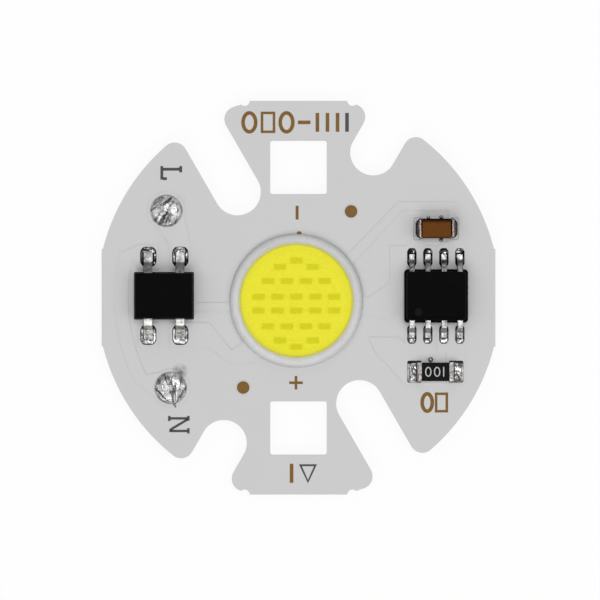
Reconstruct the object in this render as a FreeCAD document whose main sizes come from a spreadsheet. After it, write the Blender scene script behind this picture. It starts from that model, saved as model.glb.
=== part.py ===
# A driverless light engine: a round metal-core board of 32 mm that takes mains current.
# In its middle sits a chip-on-board light source, a ring of silicone filled with phosphor over 24 dies.
# On the left are two wire pads and a bridge rectifier, on the right a current driver,
# a chip capacitor and a chip resistor.
#
# The board lies flat. The origin is the middle of the underside of its metal base.
# +Z points up, out of the lit side. +X points from the rectifier to the driver.
# +Y points to the live wire pad. All sizes are millimetres and degrees.

import FreeCAD
import Part
import Sketcher
import math
import os
import re

from FreeCAD import Vector

document = FreeCAD.newDocument("LightEngine")
sheet = document.addObject("Spreadsheet::Sheet", "Sizes")

SIZES = [
    # The board and its layers, from the underside up
    ("board_diameter", 32.0, "round outline of the board"),
    ("flat_depth", 0.37, "cut off the round at each flat"),
    ("tab_width", 7.76, "length of each flat, left where the board broke out of its panel"),
    ("tab_depth", 1.2, "how far the tab that carries a flat reaches into the board"),
    ("tab_relief", 0.4, "radius of the round nick at each end of a flat"),
    ("base_thickness", 1.0, "aluminium base"),
    ("dielectric_thickness", 0.1, "insulating layer on the base"),
    ("copper_thickness", 0.07, "etched copper foil"),
    ("mask_thickness", 0.03, "white coat over copper and insulation"),
    ("mask_side_cover", 0.05, "coat on the side walls of the copper"),
    # Openings through the board
    ("slot_width", 3.72, "deep screw slot"),
    ("slot_angle", 120.0, "direction of the first deep slot"),
    ("notch_width", 3.66, "shallow screw notch"),
    ("notch_angle", 60.0, "direction of the first shallow notch"),
    ("notch_depth", 3.04, "from the board's edge to the round end's middle"),
    ("notch_shift", 0.63, "sideways offset of the notch's middle line"),
    ("tip_radius", 1.0, "rounded tips beside slots and notches"),
    ("window_width", 4.5, "square window, across"),
    ("window_height", 4.27, "square window, along"),
    ("window_inset", 5.63, "from the board's edge to the window's middle"),
    ("window_corner", 0.18, "window corner radius"),
    ("window_wall", 0.74, "metal left between a window and a deep slot's round end"),
    # The light source in the middle
    ("source_x", -0.17, "middle of the light source"),
    ("source_y", -0.23, "middle of the light source"),
    ("dam_middle", 4.83, "radius of the middle line of the dam"),
    ("dam_foot", 0.9, "width of the dam where it stands"),
    ("dam_height", 0.65, "dam above the insulating layer"),
    ("fill_rim", 0.46, "phosphor level at the dam"),
    ("fill_crown", 0.06, "rise of the phosphor towards its middle"),
    ("die_length", 0.96, "light-emitting die, across"),
    ("die_width", 0.45, "light-emitting die, along"),
    ("die_thickness", 0.15, "light-emitting die"),
    ("die_gap", 0.54, "between dies of one row"),
    ("die_shift", -0.25, "middle of all dies from the middle of the light source"),
    ("die_pair_pitch", 2.6, "between the two dies of a short row"),
    ("row_first", 0.55, "first row each side of the middle"),
    ("row_second", 1.8, "second row"),
    ("row_third", 2.92, "third row, of two dies"),
    ("row_fourth", 3.42, "last row, of one die"),
    ("bond_diameter", 0.03, "bond wire"),
    ("bond_rise", 0.14, "top of a bond wire above the dies"),
    ("bond_inset", 0.12, "bond from the end of a die"),
    ("bond_knee", 0.3, "highest point of a bond wire, as a share of its span"),
    # Bridge rectifier
    ("bridge_inset", 5.35, "from the board's left edge to its middle"),
    ("bridge_y", 0.15, "middle of the rectifier"),
    ("bridge_length", 4.7, "body, across"),
    ("bridge_width", 3.72, "body, along"),
    ("bridge_height", 1.4, "body"),
    ("bridge_pitch", 2.54, "between its leads"),
    ("bridge_lead_width", 0.7, "lead"),
    ("bridge_span", 6.9, "over the leads"),
    ("bridge_foot", 0.8, "flat foot of a lead"),
    ("bridge_pad_width", 1.3, "solder pad, across"),
    ("bridge_pad_end", 3.9, "outer end of a solder pad from the middle"),
    ("bridge_pad_start", 2.3, "inner end of a solder pad from the middle"),
    ("bridge_pad_corner", 0.58, "corner radius of a solder pad"),
    # Current driver
    ("driver_inset", 5.1, "from the board's right edge to its middle"),
    ("driver_y", 0.14, "middle of the driver"),
    ("driver_length", 5.06, "body, across"),
    ("driver_width", 4.2, "body, along"),
    ("driver_height", 1.4, "body"),
    ("driver_pitch", 1.27, "between its leads"),
    ("driver_lead_width", 0.42, "lead"),
    ("driver_span", 6.6, "over the leads"),
    ("driver_foot", 0.45, "flat foot of a lead"),
    ("driver_pad_width", 0.75, "solder pad, across"),
    ("driver_pad_end", 3.8, "outer end of a solder pad from the middle"),
    ("driver_pad_start", 2.3, "inner end of a solder pad from the middle"),
    ("driver_pad_corner", 0.35, "corner radius of a solder pad"),
    ("driver_bevel", 0.35, "sloped long edge over the first row of leads"),
    ("dimple_radius", 0.33, "round mark beside the first lead"),
    ("dimple_depth", 0.08, "round mark beside the first lead"),
    ("dimple_x", -1.42, "round mark from the body's middle"),
    ("dimple_y", -1.28, "round mark from the body's middle"),
    # Shared by both moulded bodies
    ("lead_thickness", 0.2, "lead frame"),
    ("lead_root", 0.2, "length of a lead inside its body"),
    ("lead_fall", 0.2, "how far the slanting stretch of a lead reaches, along"),
    ("body_lift", 0.06, "gap between a moulded body and the coat"),
    ("mould_draft", 7.0, "slope of the sides of a moulded body"),
    # Chip capacitor
    ("capacitor_inset", 5.07, "from the board's right edge to its middle"),
    ("capacitor_gap", 0.63, "between its solder and the driver's"),
    ("capacitor_length", 3.3, "over its terminals"),
    ("capacitor_width", 1.62, "over its terminals"),
    ("capacitor_height", 1.2, "over its terminals"),
    ("capacitor_terminal", 0.55, "length of a terminal"),
    ("capacitor_solder_reach", 0.16, "solder beyond the end"),
    ("capacitor_solder_height", 0.6, "mound at its end"),
    ("capacitor_pad_corner", 0.32, "corner radius of a solder pad"),
    # Chip resistor
    ("resistor_inset", 5.14, "from the board's right edge to its middle"),
    ("resistor_gap", 1.335, "between its solder and the driver's"),
    ("resistor_length", 3.1, "over its terminals"),
    ("resistor_width", 1.55, "over its terminals"),
    ("resistor_height", 0.55, "over its terminals"),
    ("resistor_terminal", 0.47, "length of a terminal"),
    ("resistor_glaze", 0.04, "black coat over the resistive film"),
    ("resistor_solder_reach", 0.68, "solder beyond the end"),
    ("resistor_solder_height", 0.44, "mound at its end"),
    ("resistor_pad_corner", 0.15, "corner radius of a solder pad"),
    # Shared by both chips
    ("terminal_skin", 0.04, "plating of a terminal"),
    ("chip_solder_inset", 0.5, "solder pad under the end of a chip"),
    ("chip_solder_side", 0.1, "solder pad beyond the sides of a chip"),
    # Solder
    ("solder_film", 0.03, "solder between a foot or terminal and its pad"),
    ("solder_height", 0.26, "mound around a foot"),
    ("solder_slope", 24.0, "slope of a mound's sides, from upright"),
    ("shoulder_level", 0.6, "where a mound's sides turn in, as a share of its height"),
    ("shoulder_share", 0.35, "how far they have drawn in there, as a share of the whole"),
    # Wire pads
    ("live_inset", 5.51, "from the board's left edge to the middle of the live pad"),
    ("live_gap", 1.54, "between the live pad and the rectifier's solder"),
    ("neutral_inset", 5.87, "from the board's left edge to the middle of the neutral pad"),
    ("neutral_gap", 2.11, "between the neutral pad and the rectifier's solder"),
    ("wire_pad_radius", 1.3, "opening in the coat"),
    ("wire_pad_rim", 0.15, "copper beyond the opening"),
    ("dome_height", 0.5, "solder on a wire pad"),
    # Bare copper dots for placing parts
    ("dot_radius", 0.5, "opening in the coat"),
    ("upper_dot_x", 4.17, "dot"),
    ("upper_dot_y", 6.85, "dot"),
    ("lower_dot_x", -4.39, "dot"),
    ("lower_dot_y", -7.13, "dot"),
    # Copper tracks
    ("track_width", 0.55, "narrow track"),
    ("track_rim", 0.12, "copper beyond an opening in the coat"),
    ("live_track_side", 230.0, "direction where the live track's left side leaves its pad"),
    ("neutral_track_lower", 225.0, "direction where the neutral track's lower side leaves its pad"),
    ("neutral_track_upper", 100.0, "direction where its upper side leaves the pad"),
    ("edge_track_inset", 1.45, "from the board's edge to the neutral track along it"),
    ("edge_track_width", 0.95, "neutral track along the board's edge"),
    ("edge_track_start", 207.0, "direction where it leaves the neutral pad"),
    ("edge_track_stop", 166.0, "direction where it turns to the rectifier"),
    ("positive_run", 1.5, "from the rectifier's pad to where the positive track turns"),
    ("positive_slant", 1.8, "length of its slanting stretch, across"),
    ("positive_drop", 4.44, "its level at the light source, below the source's middle"),
    ("positive_width", 0.86, "positive track at the light source"),
    ("ring_start", 186.0, "direction where the ground track goes under the dam"),
    ("ring_stop", 33.0, "direction where it comes out"),
    ("ring_exit", 8.0, "degrees of the ring that this track takes up"),
    ("ground_run", 0.9, "from the capacitor's solder to where the ground track turns"),
    ("ground_rise", 0.78, "middle of the ground track beyond the capacitor's copper"),
    ("bond_pad_gap", 0.1, "between the dam and the bond pads"),
    ("bond_pad_width", 0.4, "bond pads in the light source"),
    ("first_pad_start", 220.0, "upper end of the first bond pad"),
    ("first_pad_stop", 240.0, "lower end of the first bond pad"),
    ("first_pad_side", 225.0, "direction where the positive track's lower side meets it"),
    ("return_start", -12.0, "lower end of the return bond pad"),
    ("return_stop", 44.0, "upper end of the return bond pad"),
    ("last_bond_inset", 6.0, "degrees from the return bond pad's upper end to the last bond"),
    ("return_run", 1.2, "return copper beside the driver's pads"),
    ("return_rise", 1.03, "its lower level there, above the driver's middle"),
    ("sense_run", 2.9, "cooling copper of the driver beside its pads"),
    ("sense_drop", 3.34, "its upper level, below the driver's middle"),
]

for row, (name, number, note) in enumerate(SIZES, start=1):
    sheet.set(f"A{row}", name)
    sheet.set(f"B{row}", str(number))
    sheet.set(f"C{row}", note)
    sheet.setAlias(f"B{row}", name)
document.recompute()

NAMES = sorted((name for name, _, _ in SIZES), key=len, reverse=True)
ALIAS = re.compile(r"\b(" + "|".join(NAMES) + r")\b")

# Places and distances worked out from the sizes
EDGE = "board_diameter / 2"
WORKED_OUT = {
    "flat_span": "(board_diameter - 2 * flat_depth)",
    "slot_reach": "((window_width / 2 + window_wall + slot_width / 2) / abs(cos(slot_angle)))",
    "notch_reach": f"({EDGE} - notch_depth)",
    "window_offset": f"({EDGE} - window_inset)",
    "die_pitch": "(die_length + die_gap)",
    "die_y": "(source_y + die_shift)",
    "bridge_x": f"(bridge_inset - {EDGE})",
    "driver_x": f"({EDGE} - driver_inset)",
    "capacitor_x": f"({EDGE} - capacitor_inset)",
    "capacitor_y": "(driver_y + driver_pad_end + capacitor_gap + chip_solder_side + capacitor_width / 2)",
    "resistor_x": f"({EDGE} - resistor_inset)",
    "resistor_y": "(driver_y - driver_pad_end - resistor_gap - chip_solder_side - resistor_width / 2)",
    "live_x": f"(live_inset - {EDGE})",
    "live_y": "(bridge_y + bridge_pad_end + live_gap + wire_pad_radius)",
    "neutral_x": f"(neutral_inset - {EDGE})",
    "neutral_y": "(bridge_y - bridge_pad_end - neutral_gap - wire_pad_radius)",
    "edge_track_radius": f"({EDGE} - edge_track_inset)",
    "bond_pad_radius": "(dam_middle - dam_foot / 2 - bond_pad_gap)",
}
WORKED_OUT_NAME = re.compile(r"\b(" + "|".join(WORKED_OUT) + r")\b")

# Levels, as sums of the layers under them
DIELECTRIC_TOP = "(base_thickness + dielectric_thickness)"
COPPER_TOP = f"({DIELECTRIC_TOP} + copper_thickness)"
MASK_TOP = f"({COPPER_TOP} + mask_thickness)"
FOOT_LEVEL = f"({COPPER_TOP} + solder_film)"


def bound(formula):
    """The formula with each size named by its cell in the sheet."""
    formula = WORKED_OUT_NAME.sub(lambda name: WORKED_OUT[name.group()], formula)
    return ALIAS.sub(r"Sizes.\1", formula)


def worth(formula):
    """What a formula of sizes comes to now."""
    result = sheet.evalExpression(bound(formula))
    return float(getattr(result, "Value", result))


def place(item, x="0", y="0", z="0"):
    """Binds where an item stands."""
    for axis, formula in zip("xyz", (x, y, z)):
        item.setExpression(f"Placement.Base.{axis}", bound(formula))


def new_body(label, x="0", y="0", z="0"):
    body = document.addObject("PartDesign::Body", label)
    body.Label = label
    body.AllowCompound = True
    place(body, x, y, z)
    return body


def origin_part(body, role):
    return next(part for part in body.Origin.OriginFeatures if part.Role == role)


def new_sketch(body, name, height="0", plane="XY_Plane"):
    sketch = body.newObject("Sketcher::SketchObject", name)
    sketch.AttachmentSupport = [(origin_part(body, plane), "")]
    sketch.MapMode = "FlatFace"
    sketch.setExpression("AttachmentOffset.Base.z", bound(height))
    return sketch


def hold(sketch, kind, where, formula):
    """Adds one dimension and binds it to sizes."""
    index = sketch.addConstraint(Sketcher.Constraint(kind, *where, worth(formula)))
    sketch.setExpression(f"Constraints[{index}]", bound(formula))


def hold_point(sketch, shape, end, x, y):
    """Holds an end of a sketched line, or the middle of a circle, at x and y."""
    hold(sketch, "DistanceX", (-1, 1, shape, end), x)
    hold(sketch, "DistanceY", (-1, 1, shape, end), y)


def draw_circle(sketch, x, y, radius):
    circle = Part.Circle(Vector(worth(x), worth(y), 0), Vector(0, 0, 1), worth(radius))
    shape = sketch.addGeometry(circle, False)
    hold_point(sketch, shape, 3, x, y)
    hold(sketch, "Radius", (shape,), radius)


def draw_polygon(sketch, corners):
    """A closed outline with each corner held by its own two formulas."""
    points = [Vector(worth(x), worth(y), 0) for x, y in corners]
    count = len(points)
    lines = [
        sketch.addGeometry(Part.LineSegment(points[i], points[(i + 1) % count]), False)
        for i in range(count)
    ]
    for i, line in enumerate(lines):
        sketch.addConstraint(Sketcher.Constraint("Coincident", line, 2, lines[(i + 1) % count], 1))
        hold_point(sketch, line, 1, *corners[i])


def box_corners(x_low, x_high, y_low, y_high):
    return [(x_low, y_low), (x_high, y_low), (x_high, y_high), (x_low, y_high)]


def draw_box(sketch, x, y, length, width):
    """A rectangle about a middle point."""
    draw_polygon(sketch, box_corners(
        f"{x} - {length} / 2", f"{x} + {length} / 2",
        f"{y} - {width} / 2", f"{y} + {width} / 2",
    ))


def add_pad(body, sketch, length, name="Pad", both_ways=False, taper=None):
    pad = body.newObject("PartDesign::Pad", name)
    pad.Profile = sketch
    pad.setExpression("Length", bound(length))
    pad.Midplane = both_ways
    if taper:
        pad.setExpression("TaperAngle", bound(taper))
    sketch.Visibility = False
    document.recompute()
    return pad


def add_pocket(body, sketch, name="Pocket"):
    """Cuts the sketched outline through the whole body, both ways."""
    pocket = body.newObject("PartDesign::Pocket", name)
    pocket.Profile = sketch
    pocket.Type = "ThroughAll"
    pocket.Midplane = True
    sketch.Visibility = False
    document.recompute()
    return pocket


def round_edges(body, feature, chosen, radius, name="Round"):
    """Rounds the edges of a feature for which chosen(edge) is true."""
    names = [f"Edge{i}" for i, edge in enumerate(feature.Shape.Edges, start=1) if chosen(edge)]
    fillet = body.newObject("PartDesign::Fillet", name)
    fillet.Base = (feature, names)
    fillet.setExpression("Radius", bound(radius))
    document.recompute()
    return fillet


def bevel_edges(body, feature, chosen, size, name="Bevel"):
    names = [f"Edge{i}" for i, edge in enumerate(feature.Shape.Edges, start=1) if chosen(edge)]
    chamfer = body.newObject("PartDesign::Chamfer", name)
    chamfer.Base = (feature, names)
    chamfer.setExpression("Size", bound(size))
    document.recompute()
    return chamfer


def is_upright(edge):
    if len(edge.Vertexes) != 2:
        return False
    start, end = (vertex.Point for vertex in edge.Vertexes)
    return math.hypot(end.x - start.x, end.y - start.y) < 1e-6


def repeat_across(body, originals, pitch, count, name="Row"):
    """Repeats features along +X at an even pitch."""
    row = body.newObject("PartDesign::LinearPattern", name)
    row.Originals = originals
    row.Direction = (origin_part(body, "X_Axis"), [""])
    row.setExpression("Length", bound(f"{pitch} * {count - 1}"))
    row.Occurrences = count
    body.Tip = row
    document.recompute()
    return row


def turn_over(body, originals, name="Pair"):
    """Repeats features half a turn about the board's middle."""
    pair = body.newObject("PartDesign::PolarPattern", name)
    pair.Originals = originals
    pair.Axis = (origin_part(body, "Z_Axis"), [""])
    pair.Angle = 360
    pair.Occurrences = 2
    body.Tip = pair
    document.recompute()
    return pair


def cut_from(label, base, tools):
    """What is left of one sub-part where others take its place."""
    tool = tools[0]
    if len(tools) > 1:
        tool = document.addObject("Part::Compound", f"{label}_takers")
        tool.Links = tools
    rest = document.addObject("Part::Cut", label)
    rest.Base = base
    rest.Tool = tool
    rest.Refine = True
    rest.Label = label
    document.recompute()
    return rest


# The board

def slot_corners(angle, reach, width, shift):
    """A straight slot from its round end's middle to beyond the board's edge."""
    beyond = "board_diameter"
    corners = []
    for along, side in ((reach, -1), (beyond, -1), (beyond, 1), (reach, 1)):
        across = f"({shift} + {side} * {width} / 2)"
        corners.append((
            f"{along} * cos({angle}) - {across} * sin({angle})",
            f"{along} * sin({angle}) + {across} * cos({angle})",
        ))
    return corners


def beside_slot(edge, angle, reach, width, shift):
    """Whether an upright edge lies at the board's rim on a side wall of a slot or its twin."""
    point = edge.Vertexes[0].Point
    turn = math.radians(worth(angle))
    across = abs(point.y * math.cos(turn) - point.x * math.sin(turn))
    along = abs(point.x * math.cos(turn) + point.y * math.sin(turn))
    near = abs(across - abs(worth(f"{width} / 2 + {shift}"))) < 1e-3
    far = abs(across - abs(worth(f"{width} / 2 - {shift}"))) < 1e-3
    return (near or far) and along > worth(f"({reach} + board_diameter / 2) / 2")


def make_board_layer(label, level, thickness):
    """A sheet with the board's outline, slots, notches and windows."""
    body = new_body(label, z=level)
    disc = new_sketch(body, "Disc")
    draw_circle(disc, "0", "0", "board_diameter / 2")
    add_pad(body, disc, thickness, "Round")

    cuts = []
    for name, angle, reach, width, shift in (
            ("Slot", "slot_angle", "slot_reach", "slot_width", "0"),
            ("Notch", "notch_angle", "notch_reach", "notch_width", "notch_shift")):
        straight = new_sketch(body, name)
        draw_polygon(straight, slot_corners(angle, reach, width, shift))
        cuts.append(add_pocket(body, straight, name + "Cut"))
        end = new_sketch(body, name + "End")
        draw_circle(
            end,
            f"{reach} * cos({angle}) - {shift} * sin({angle})",
            f"{reach} * sin({angle}) + {shift} * cos({angle})",
            f"{width} / 2",
        )
        cuts.append(add_pocket(body, end, name + "EndCut"))
    outline = turn_over(body, cuts)

    def tip_edge(edge):
        return is_upright(edge) and (
            beside_slot(edge, "slot_angle", "slot_reach", "slot_width", "0")
            or beside_slot(edge, "notch_angle", "notch_reach", "notch_width", "notch_shift"))

    round_edges(body, outline, tip_edge, "tip_radius", "Tips")

    tabs = new_sketch(body, "Tabs")
    half, far = "flat_span / 2", "board_diameter"
    for side in ("", "-"):
        middle = f"{side}({half} - tab_depth / 2)"
        draw_box(tabs, middle, "0", "tab_depth", "tab_width")
        draw_box(tabs, "0", middle, "tab_width", "tab_depth")
    add_pad(body, tabs, thickness, "TabsPad")
    waste = new_sketch(body, "BeyondFlats")
    for side in ("", "-"):
        draw_box(waste, f"{side}({half} + tab_depth / 2)", "0", "tab_depth", "2 * tab_width")
        draw_box(waste, "0", f"{side}({half} + tab_depth / 2)", "2 * tab_width", "tab_depth")
    add_pocket(body, waste, "Flats")
    nicks = new_sketch(body, "TabNicks")
    for side in ("", "-"):
        for end in ("", "-"):
            draw_circle(nicks, f"{side}(tab_width / 2 + tab_relief)", f"{end}{half}", "tab_relief")
    add_pocket(body, nicks, "Nicks")

    windows = new_sketch(body, "Windows")
    draw_box(windows, "0", "window_offset", "window_width", "window_height")
    draw_box(windows, "0", "-window_offset", "window_width", "window_height")
    opened = add_pocket(body, windows, "WindowCut")

    def window_edge(edge):
        point = edge.Vertexes[0].Point
        return is_upright(edge) and abs(abs(point.x) - worth("window_width / 2")) < 1e-4 \
            and abs(point.y) < worth("window_offset + window_height / 2") + 1e-4

    round_edges(body, opened, window_edge, "window_corner", "WindowCorners")
    return body


# The copper

def arc_corners(radius, start, stop, steps, x="0", y="0"):
    """Corners along an arc about a point, from one direction to another."""
    return [
        (
            f"{x} + {radius} * cos({start} + ({stop} - {start}) * {i / steps})",
            f"{y} + {radius} * sin({start} + ({stop} - {start}) * {i / steps})",
        )
        for i in range(steps + 1)
    ]


def band_sides(outer, width, start, stop, steps, x="0", y="0"):
    """A track bent along an arc: its outer side from start to stop, its inner side back again."""
    return (
        arc_corners(outer, start, stop, steps, x, y),
        arc_corners(f"({outer} - {width})", stop, start, steps, x, y),
    )


def make_copper(label, polygons, circles=()):
    """One island of foil, from outlines that run into each other."""
    body = new_body(label, z=DIELECTRIC_TOP)
    for i, corners in enumerate(polygons):
        outline = new_sketch(body, f"Outline{i}")
        draw_polygon(outline, corners)
        add_pad(body, outline, "copper_thickness", f"Foil{i}")
    for i, (x, y, radius) in enumerate(circles):
        outline = new_sketch(body, f"Round{i}")
        draw_circle(outline, x, y, radius)
        add_pad(body, outline, "copper_thickness", f"RoundFoil{i}")
    return body


def lead_pads(part, side, first, last, count):
    """The foil under the leads numbered first to last in one row of a moulded part."""
    start = f"({first} - {(count - 1) / 2})"
    stop = f"({last} - {(count - 1) / 2})"
    near, far = f"{side}({part}_pad_start - track_rim)", f"{side}({part}_pad_end + track_rim)"
    low, high = (near, far) if side == "" else (far, near)
    return box_corners(
        f"{part}_x + {start} * {part}_pitch - {part}_pad_width / 2 - track_rim",
        f"{part}_x + {stop} * {part}_pitch + {part}_pad_width / 2 + track_rim",
        f"{part}_y + {low}", f"{part}_y + {high}",
    )


def chip_pad(part, side):
    """The foil under one end of a chip. side is + or -."""
    outer = f"{part}_x {side} ({part}_length / 2 + {part}_solder_reach + track_rim)"
    inner = f"{part}_x {side} ({part}_length / 2 - chip_solder_inset - track_rim)"
    low, high = (inner, outer) if side == "+" else (outer, inner)
    reach = f"({part}_width / 2 + chip_solder_side + track_rim)"
    return box_corners(low, high, f"{part}_y - {reach}", f"{part}_y + {reach}")


def make_live_copper():
    """From the live wire pad to the rectifier's upper right lead."""
    pad = lead_pads("bridge", "", 1, 1, 2)
    funnel = [
        ("live_x + wire_pad_radius * cos(live_track_side)",
         "live_y + wire_pad_radius * sin(live_track_side)"),
        pad[3],
        pad[2],
        ("live_x + wire_pad_radius", "live_y"),
    ]
    return make_copper("copper_live", [pad, funnel], [("live_x", "live_y", "wire_pad_radius + wire_pad_rim")])


def make_neutral_copper():
    """From the neutral wire pad along the board's edge to the rectifier's upper left lead."""
    pad = lead_pads("bridge", "", 0, 0, 2)
    outer, inner = band_sides("edge_track_radius", "edge_track_width",
                              "edge_track_start", "edge_track_stop", 8)
    turn = [outer[-1], inner[0], pad[0], pad[3]]
    sides = [
        (f"neutral_x + wire_pad_radius * cos({side})", f"neutral_y + wire_pad_radius * sin({side})")
        for side in ("neutral_track_lower", "neutral_track_upper")
    ]
    funnel = [outer[0]] + sides + [inner[-1]]
    return make_copper(
        "copper_neutral", [pad, outer + inner, turn, funnel],
        [("neutral_x", "neutral_y", "wire_pad_radius + wire_pad_rim")],
    )


def make_positive_copper():
    """From the rectifier's lower right lead to the first bond pad of the light source."""
    pad = lead_pads("bridge", "-", 1, 1, 2)
    turn = f"({pad[1][0]} + positive_run)"
    end = f"({turn} + positive_slant)"
    level = "(source_y - positive_drop)"
    inner = "(bond_pad_radius - bond_pad_width)"
    run = [
        pad[0],
        (turn, pad[0][1]),
        (f"{end} - positive_width / 3", f"{level} - positive_width / 2"),
        ("source_x + bond_pad_radius * cos(first_pad_side)", f"{level} - positive_width / 2"),
        ("source_x + bond_pad_radius * cos(first_pad_stop)",
         "source_y + bond_pad_radius * sin(first_pad_stop)"),
        (f"source_x + {inner} * cos(first_pad_stop)", f"source_y + {inner} * sin(first_pad_stop)"),
        (f"source_x + {inner} * cos(first_pad_start)", f"source_y + {inner} * sin(first_pad_start)"),
        (end, f"{level} + positive_width / 2"),
        (turn, pad[3][1]),
        pad[3],
    ]
    return make_copper("copper_positive", [run])


def make_ground_copper():
    """From the rectifier's lower left lead under its body and round the dam to the driver."""
    pad = lead_pads("bridge", "-", 0, 0, 2)
    ring_outer = "(dam_middle + track_width / 2)"
    outer, inner = band_sides(ring_outer, "track_width", "ring_start", "ring_stop", 18,
                              "source_x", "source_y")
    way_in = f"source_x + {ring_outer} * cos(ring_start)"
    level = "(source_y + dam_middle * sin(ring_start))"
    under_body = [
        (f"{pad[0][0]}", f"{pad[3][1]}"),
        (f"{pad[0][0]} + track_width", f"{pad[3][1]}"),
        (f"{pad[0][0]} + track_width", f"{level} - track_width / 2"),
        (f"{way_in} + track_width / 2", f"{level} - track_width / 2"),
        (f"{way_in} + track_width / 2", f"{level} + track_width / 2"),
        (f"{pad[0][0]}", f"{level} + track_width / 2"),
    ]
    way_out = ("source_x + dam_middle * cos(ring_stop + ring_exit)",
               "source_y + dam_middle * sin(ring_stop + ring_exit)")
    end_pad = chip_pad("capacitor", "+")
    turn = f"({chip_pad('capacitor', '-')[0][0]} - ground_run)"
    rise = f"({end_pad[2][1]} + ground_rise)"
    run = [
        outer[-1],
        (f"{turn} + track_width / 4", f"{rise} - track_width / 2"),
        (end_pad[0][0], f"{rise} - track_width / 2"),
        end_pad[3],
        end_pad[2],
        (f"{end_pad[2][0]} - track_width / 2", f"{rise} + track_width / 2"),
        (f"{turn} - track_width / 4", f"{rise} + track_width / 2"),
        way_out,
    ]
    leads = lead_pads("driver", "", 2, 3, 4)
    joint = [leads[3], leads[2], end_pad[1], end_pad[0]]
    return make_copper("copper_ground", [pad, under_body, outer + inner, run, end_pad, joint, leads])


def make_return_copper():
    """From the last bond pad of the light source to the driver's upper left leads."""
    outer, inner = band_sides("bond_pad_radius", "bond_pad_width", "return_start", "return_stop", 6,
                              "source_x", "source_y")
    leads = lead_pads("driver", "", 0, 1, 4)
    end_pad = chip_pad("capacitor", "-")
    neck = "(source_y + bond_pad_radius * sin(return_start))"
    turn = f"({leads[0][0]} - return_run)"
    run = [
        inner[-1],
        outer[0],
        (turn, f"{neck} - track_width"),
        (leads[0][0], "driver_y"),
        leads[0],
        leads[3],
        (turn, leads[3][1]),
        (turn, "driver_y + return_rise"),
        ("source_x + dam_middle + dam_foot", f"{neck} + 2 * track_width"),
        outer[2],
    ]
    joint = [leads[3], (f"{end_pad[1][0]}", leads[3][1]), end_pad[1], end_pad[0]]
    return make_copper("copper_return", [outer + inner, run, leads, joint, end_pad])


def make_sense_copper():
    """From the driver's lower left leads to the left end of the resistor, wide enough to cool it."""
    leads = lead_pads("driver", "-", 0, 1, 4)
    end_pad = chip_pad("resistor", "-")
    left = f"({leads[0][0]} - sense_run)"
    level = "(driver_y - sense_drop)"
    cooling = [
        (left, level),
        (f"{left} + track_width", f"{level} - 2 * track_width"),
        end_pad[0],
        end_pad[1],
        end_pad[2],
        leads[1],
        leads[0],
        (f"{leads[0][0]} - track_width", level),
    ]
    return make_copper("copper_sense", [leads, cooling, end_pad])


def make_supply_copper():
    """From the driver's lower right leads to the right end of the resistor."""
    leads = lead_pads("driver", "-", 2, 3, 4)
    end_pad = chip_pad("resistor", "+")
    joint = [
        end_pad[3],
        end_pad[2],
        (end_pad[2][0], leads[1][1]),
        leads[1],
        leads[0],
        (leads[0][0], f"{leads[0][1]} - track_width"),
        (end_pad[3][0], f"{leads[0][1]} - track_width"),
    ]
    return make_copper("copper_supply", [leads, joint, end_pad])


def make_reference_dots():
    """Two bare dots by which the parts are placed."""
    return make_copper("reference_dots", [], [
        ("upper_dot_x", "upper_dot_y", "dot_radius"),
        ("lower_dot_x", "lower_dot_y", "dot_radius"),
    ])


# The white coat

ROUNDEST_CORNER = 0.49  # largest corner radius, as a share of the short side


def solder_openings(part, count):
    """Where the coat leaves the pads of a moulded part bare, both rows."""
    boxes = []
    for i in range(count):
        x = f"{part}_x + {i - (count - 1) / 2} * {part}_pitch"
        middle = f"({part}_pad_start + {part}_pad_end) / 2"
        for side in ("+", "-"):
            boxes.append((x, f"{part}_y {side} {middle}", f"{part}_pad_width",
                          f"({part}_pad_end - {part}_pad_start)", f"{part}_pad_corner"))
    return boxes


def chip_openings(part):
    """Where the coat leaves the pads of a chip bare, both ends."""
    length = f"({part}_solder_reach + chip_solder_inset)"
    middle = f"({part}_length / 2 + ({part}_solder_reach - chip_solder_inset) / 2)"
    return [
        (f"{part}_x {side} {middle}", f"{part}_y", length,
         f"({part}_width + 2 * chip_solder_side)", f"{part}_pad_corner")
        for side in ("+", "-")
    ]


def rounded_box(x, y, size_x, size_y, corner, low, high):
    """A solid between two levels on a rectangle about a middle point, its upright corners rounded."""
    radius = min(corner, ROUNDEST_CORNER * min(size_x, size_y))
    box = Part.makeBox(size_x, size_y, high - low, Vector(x - size_x / 2, y - size_y / 2, low))
    return box.makeFillet(radius, [edge for edge in box.Edges if is_upright(edge)])


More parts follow.
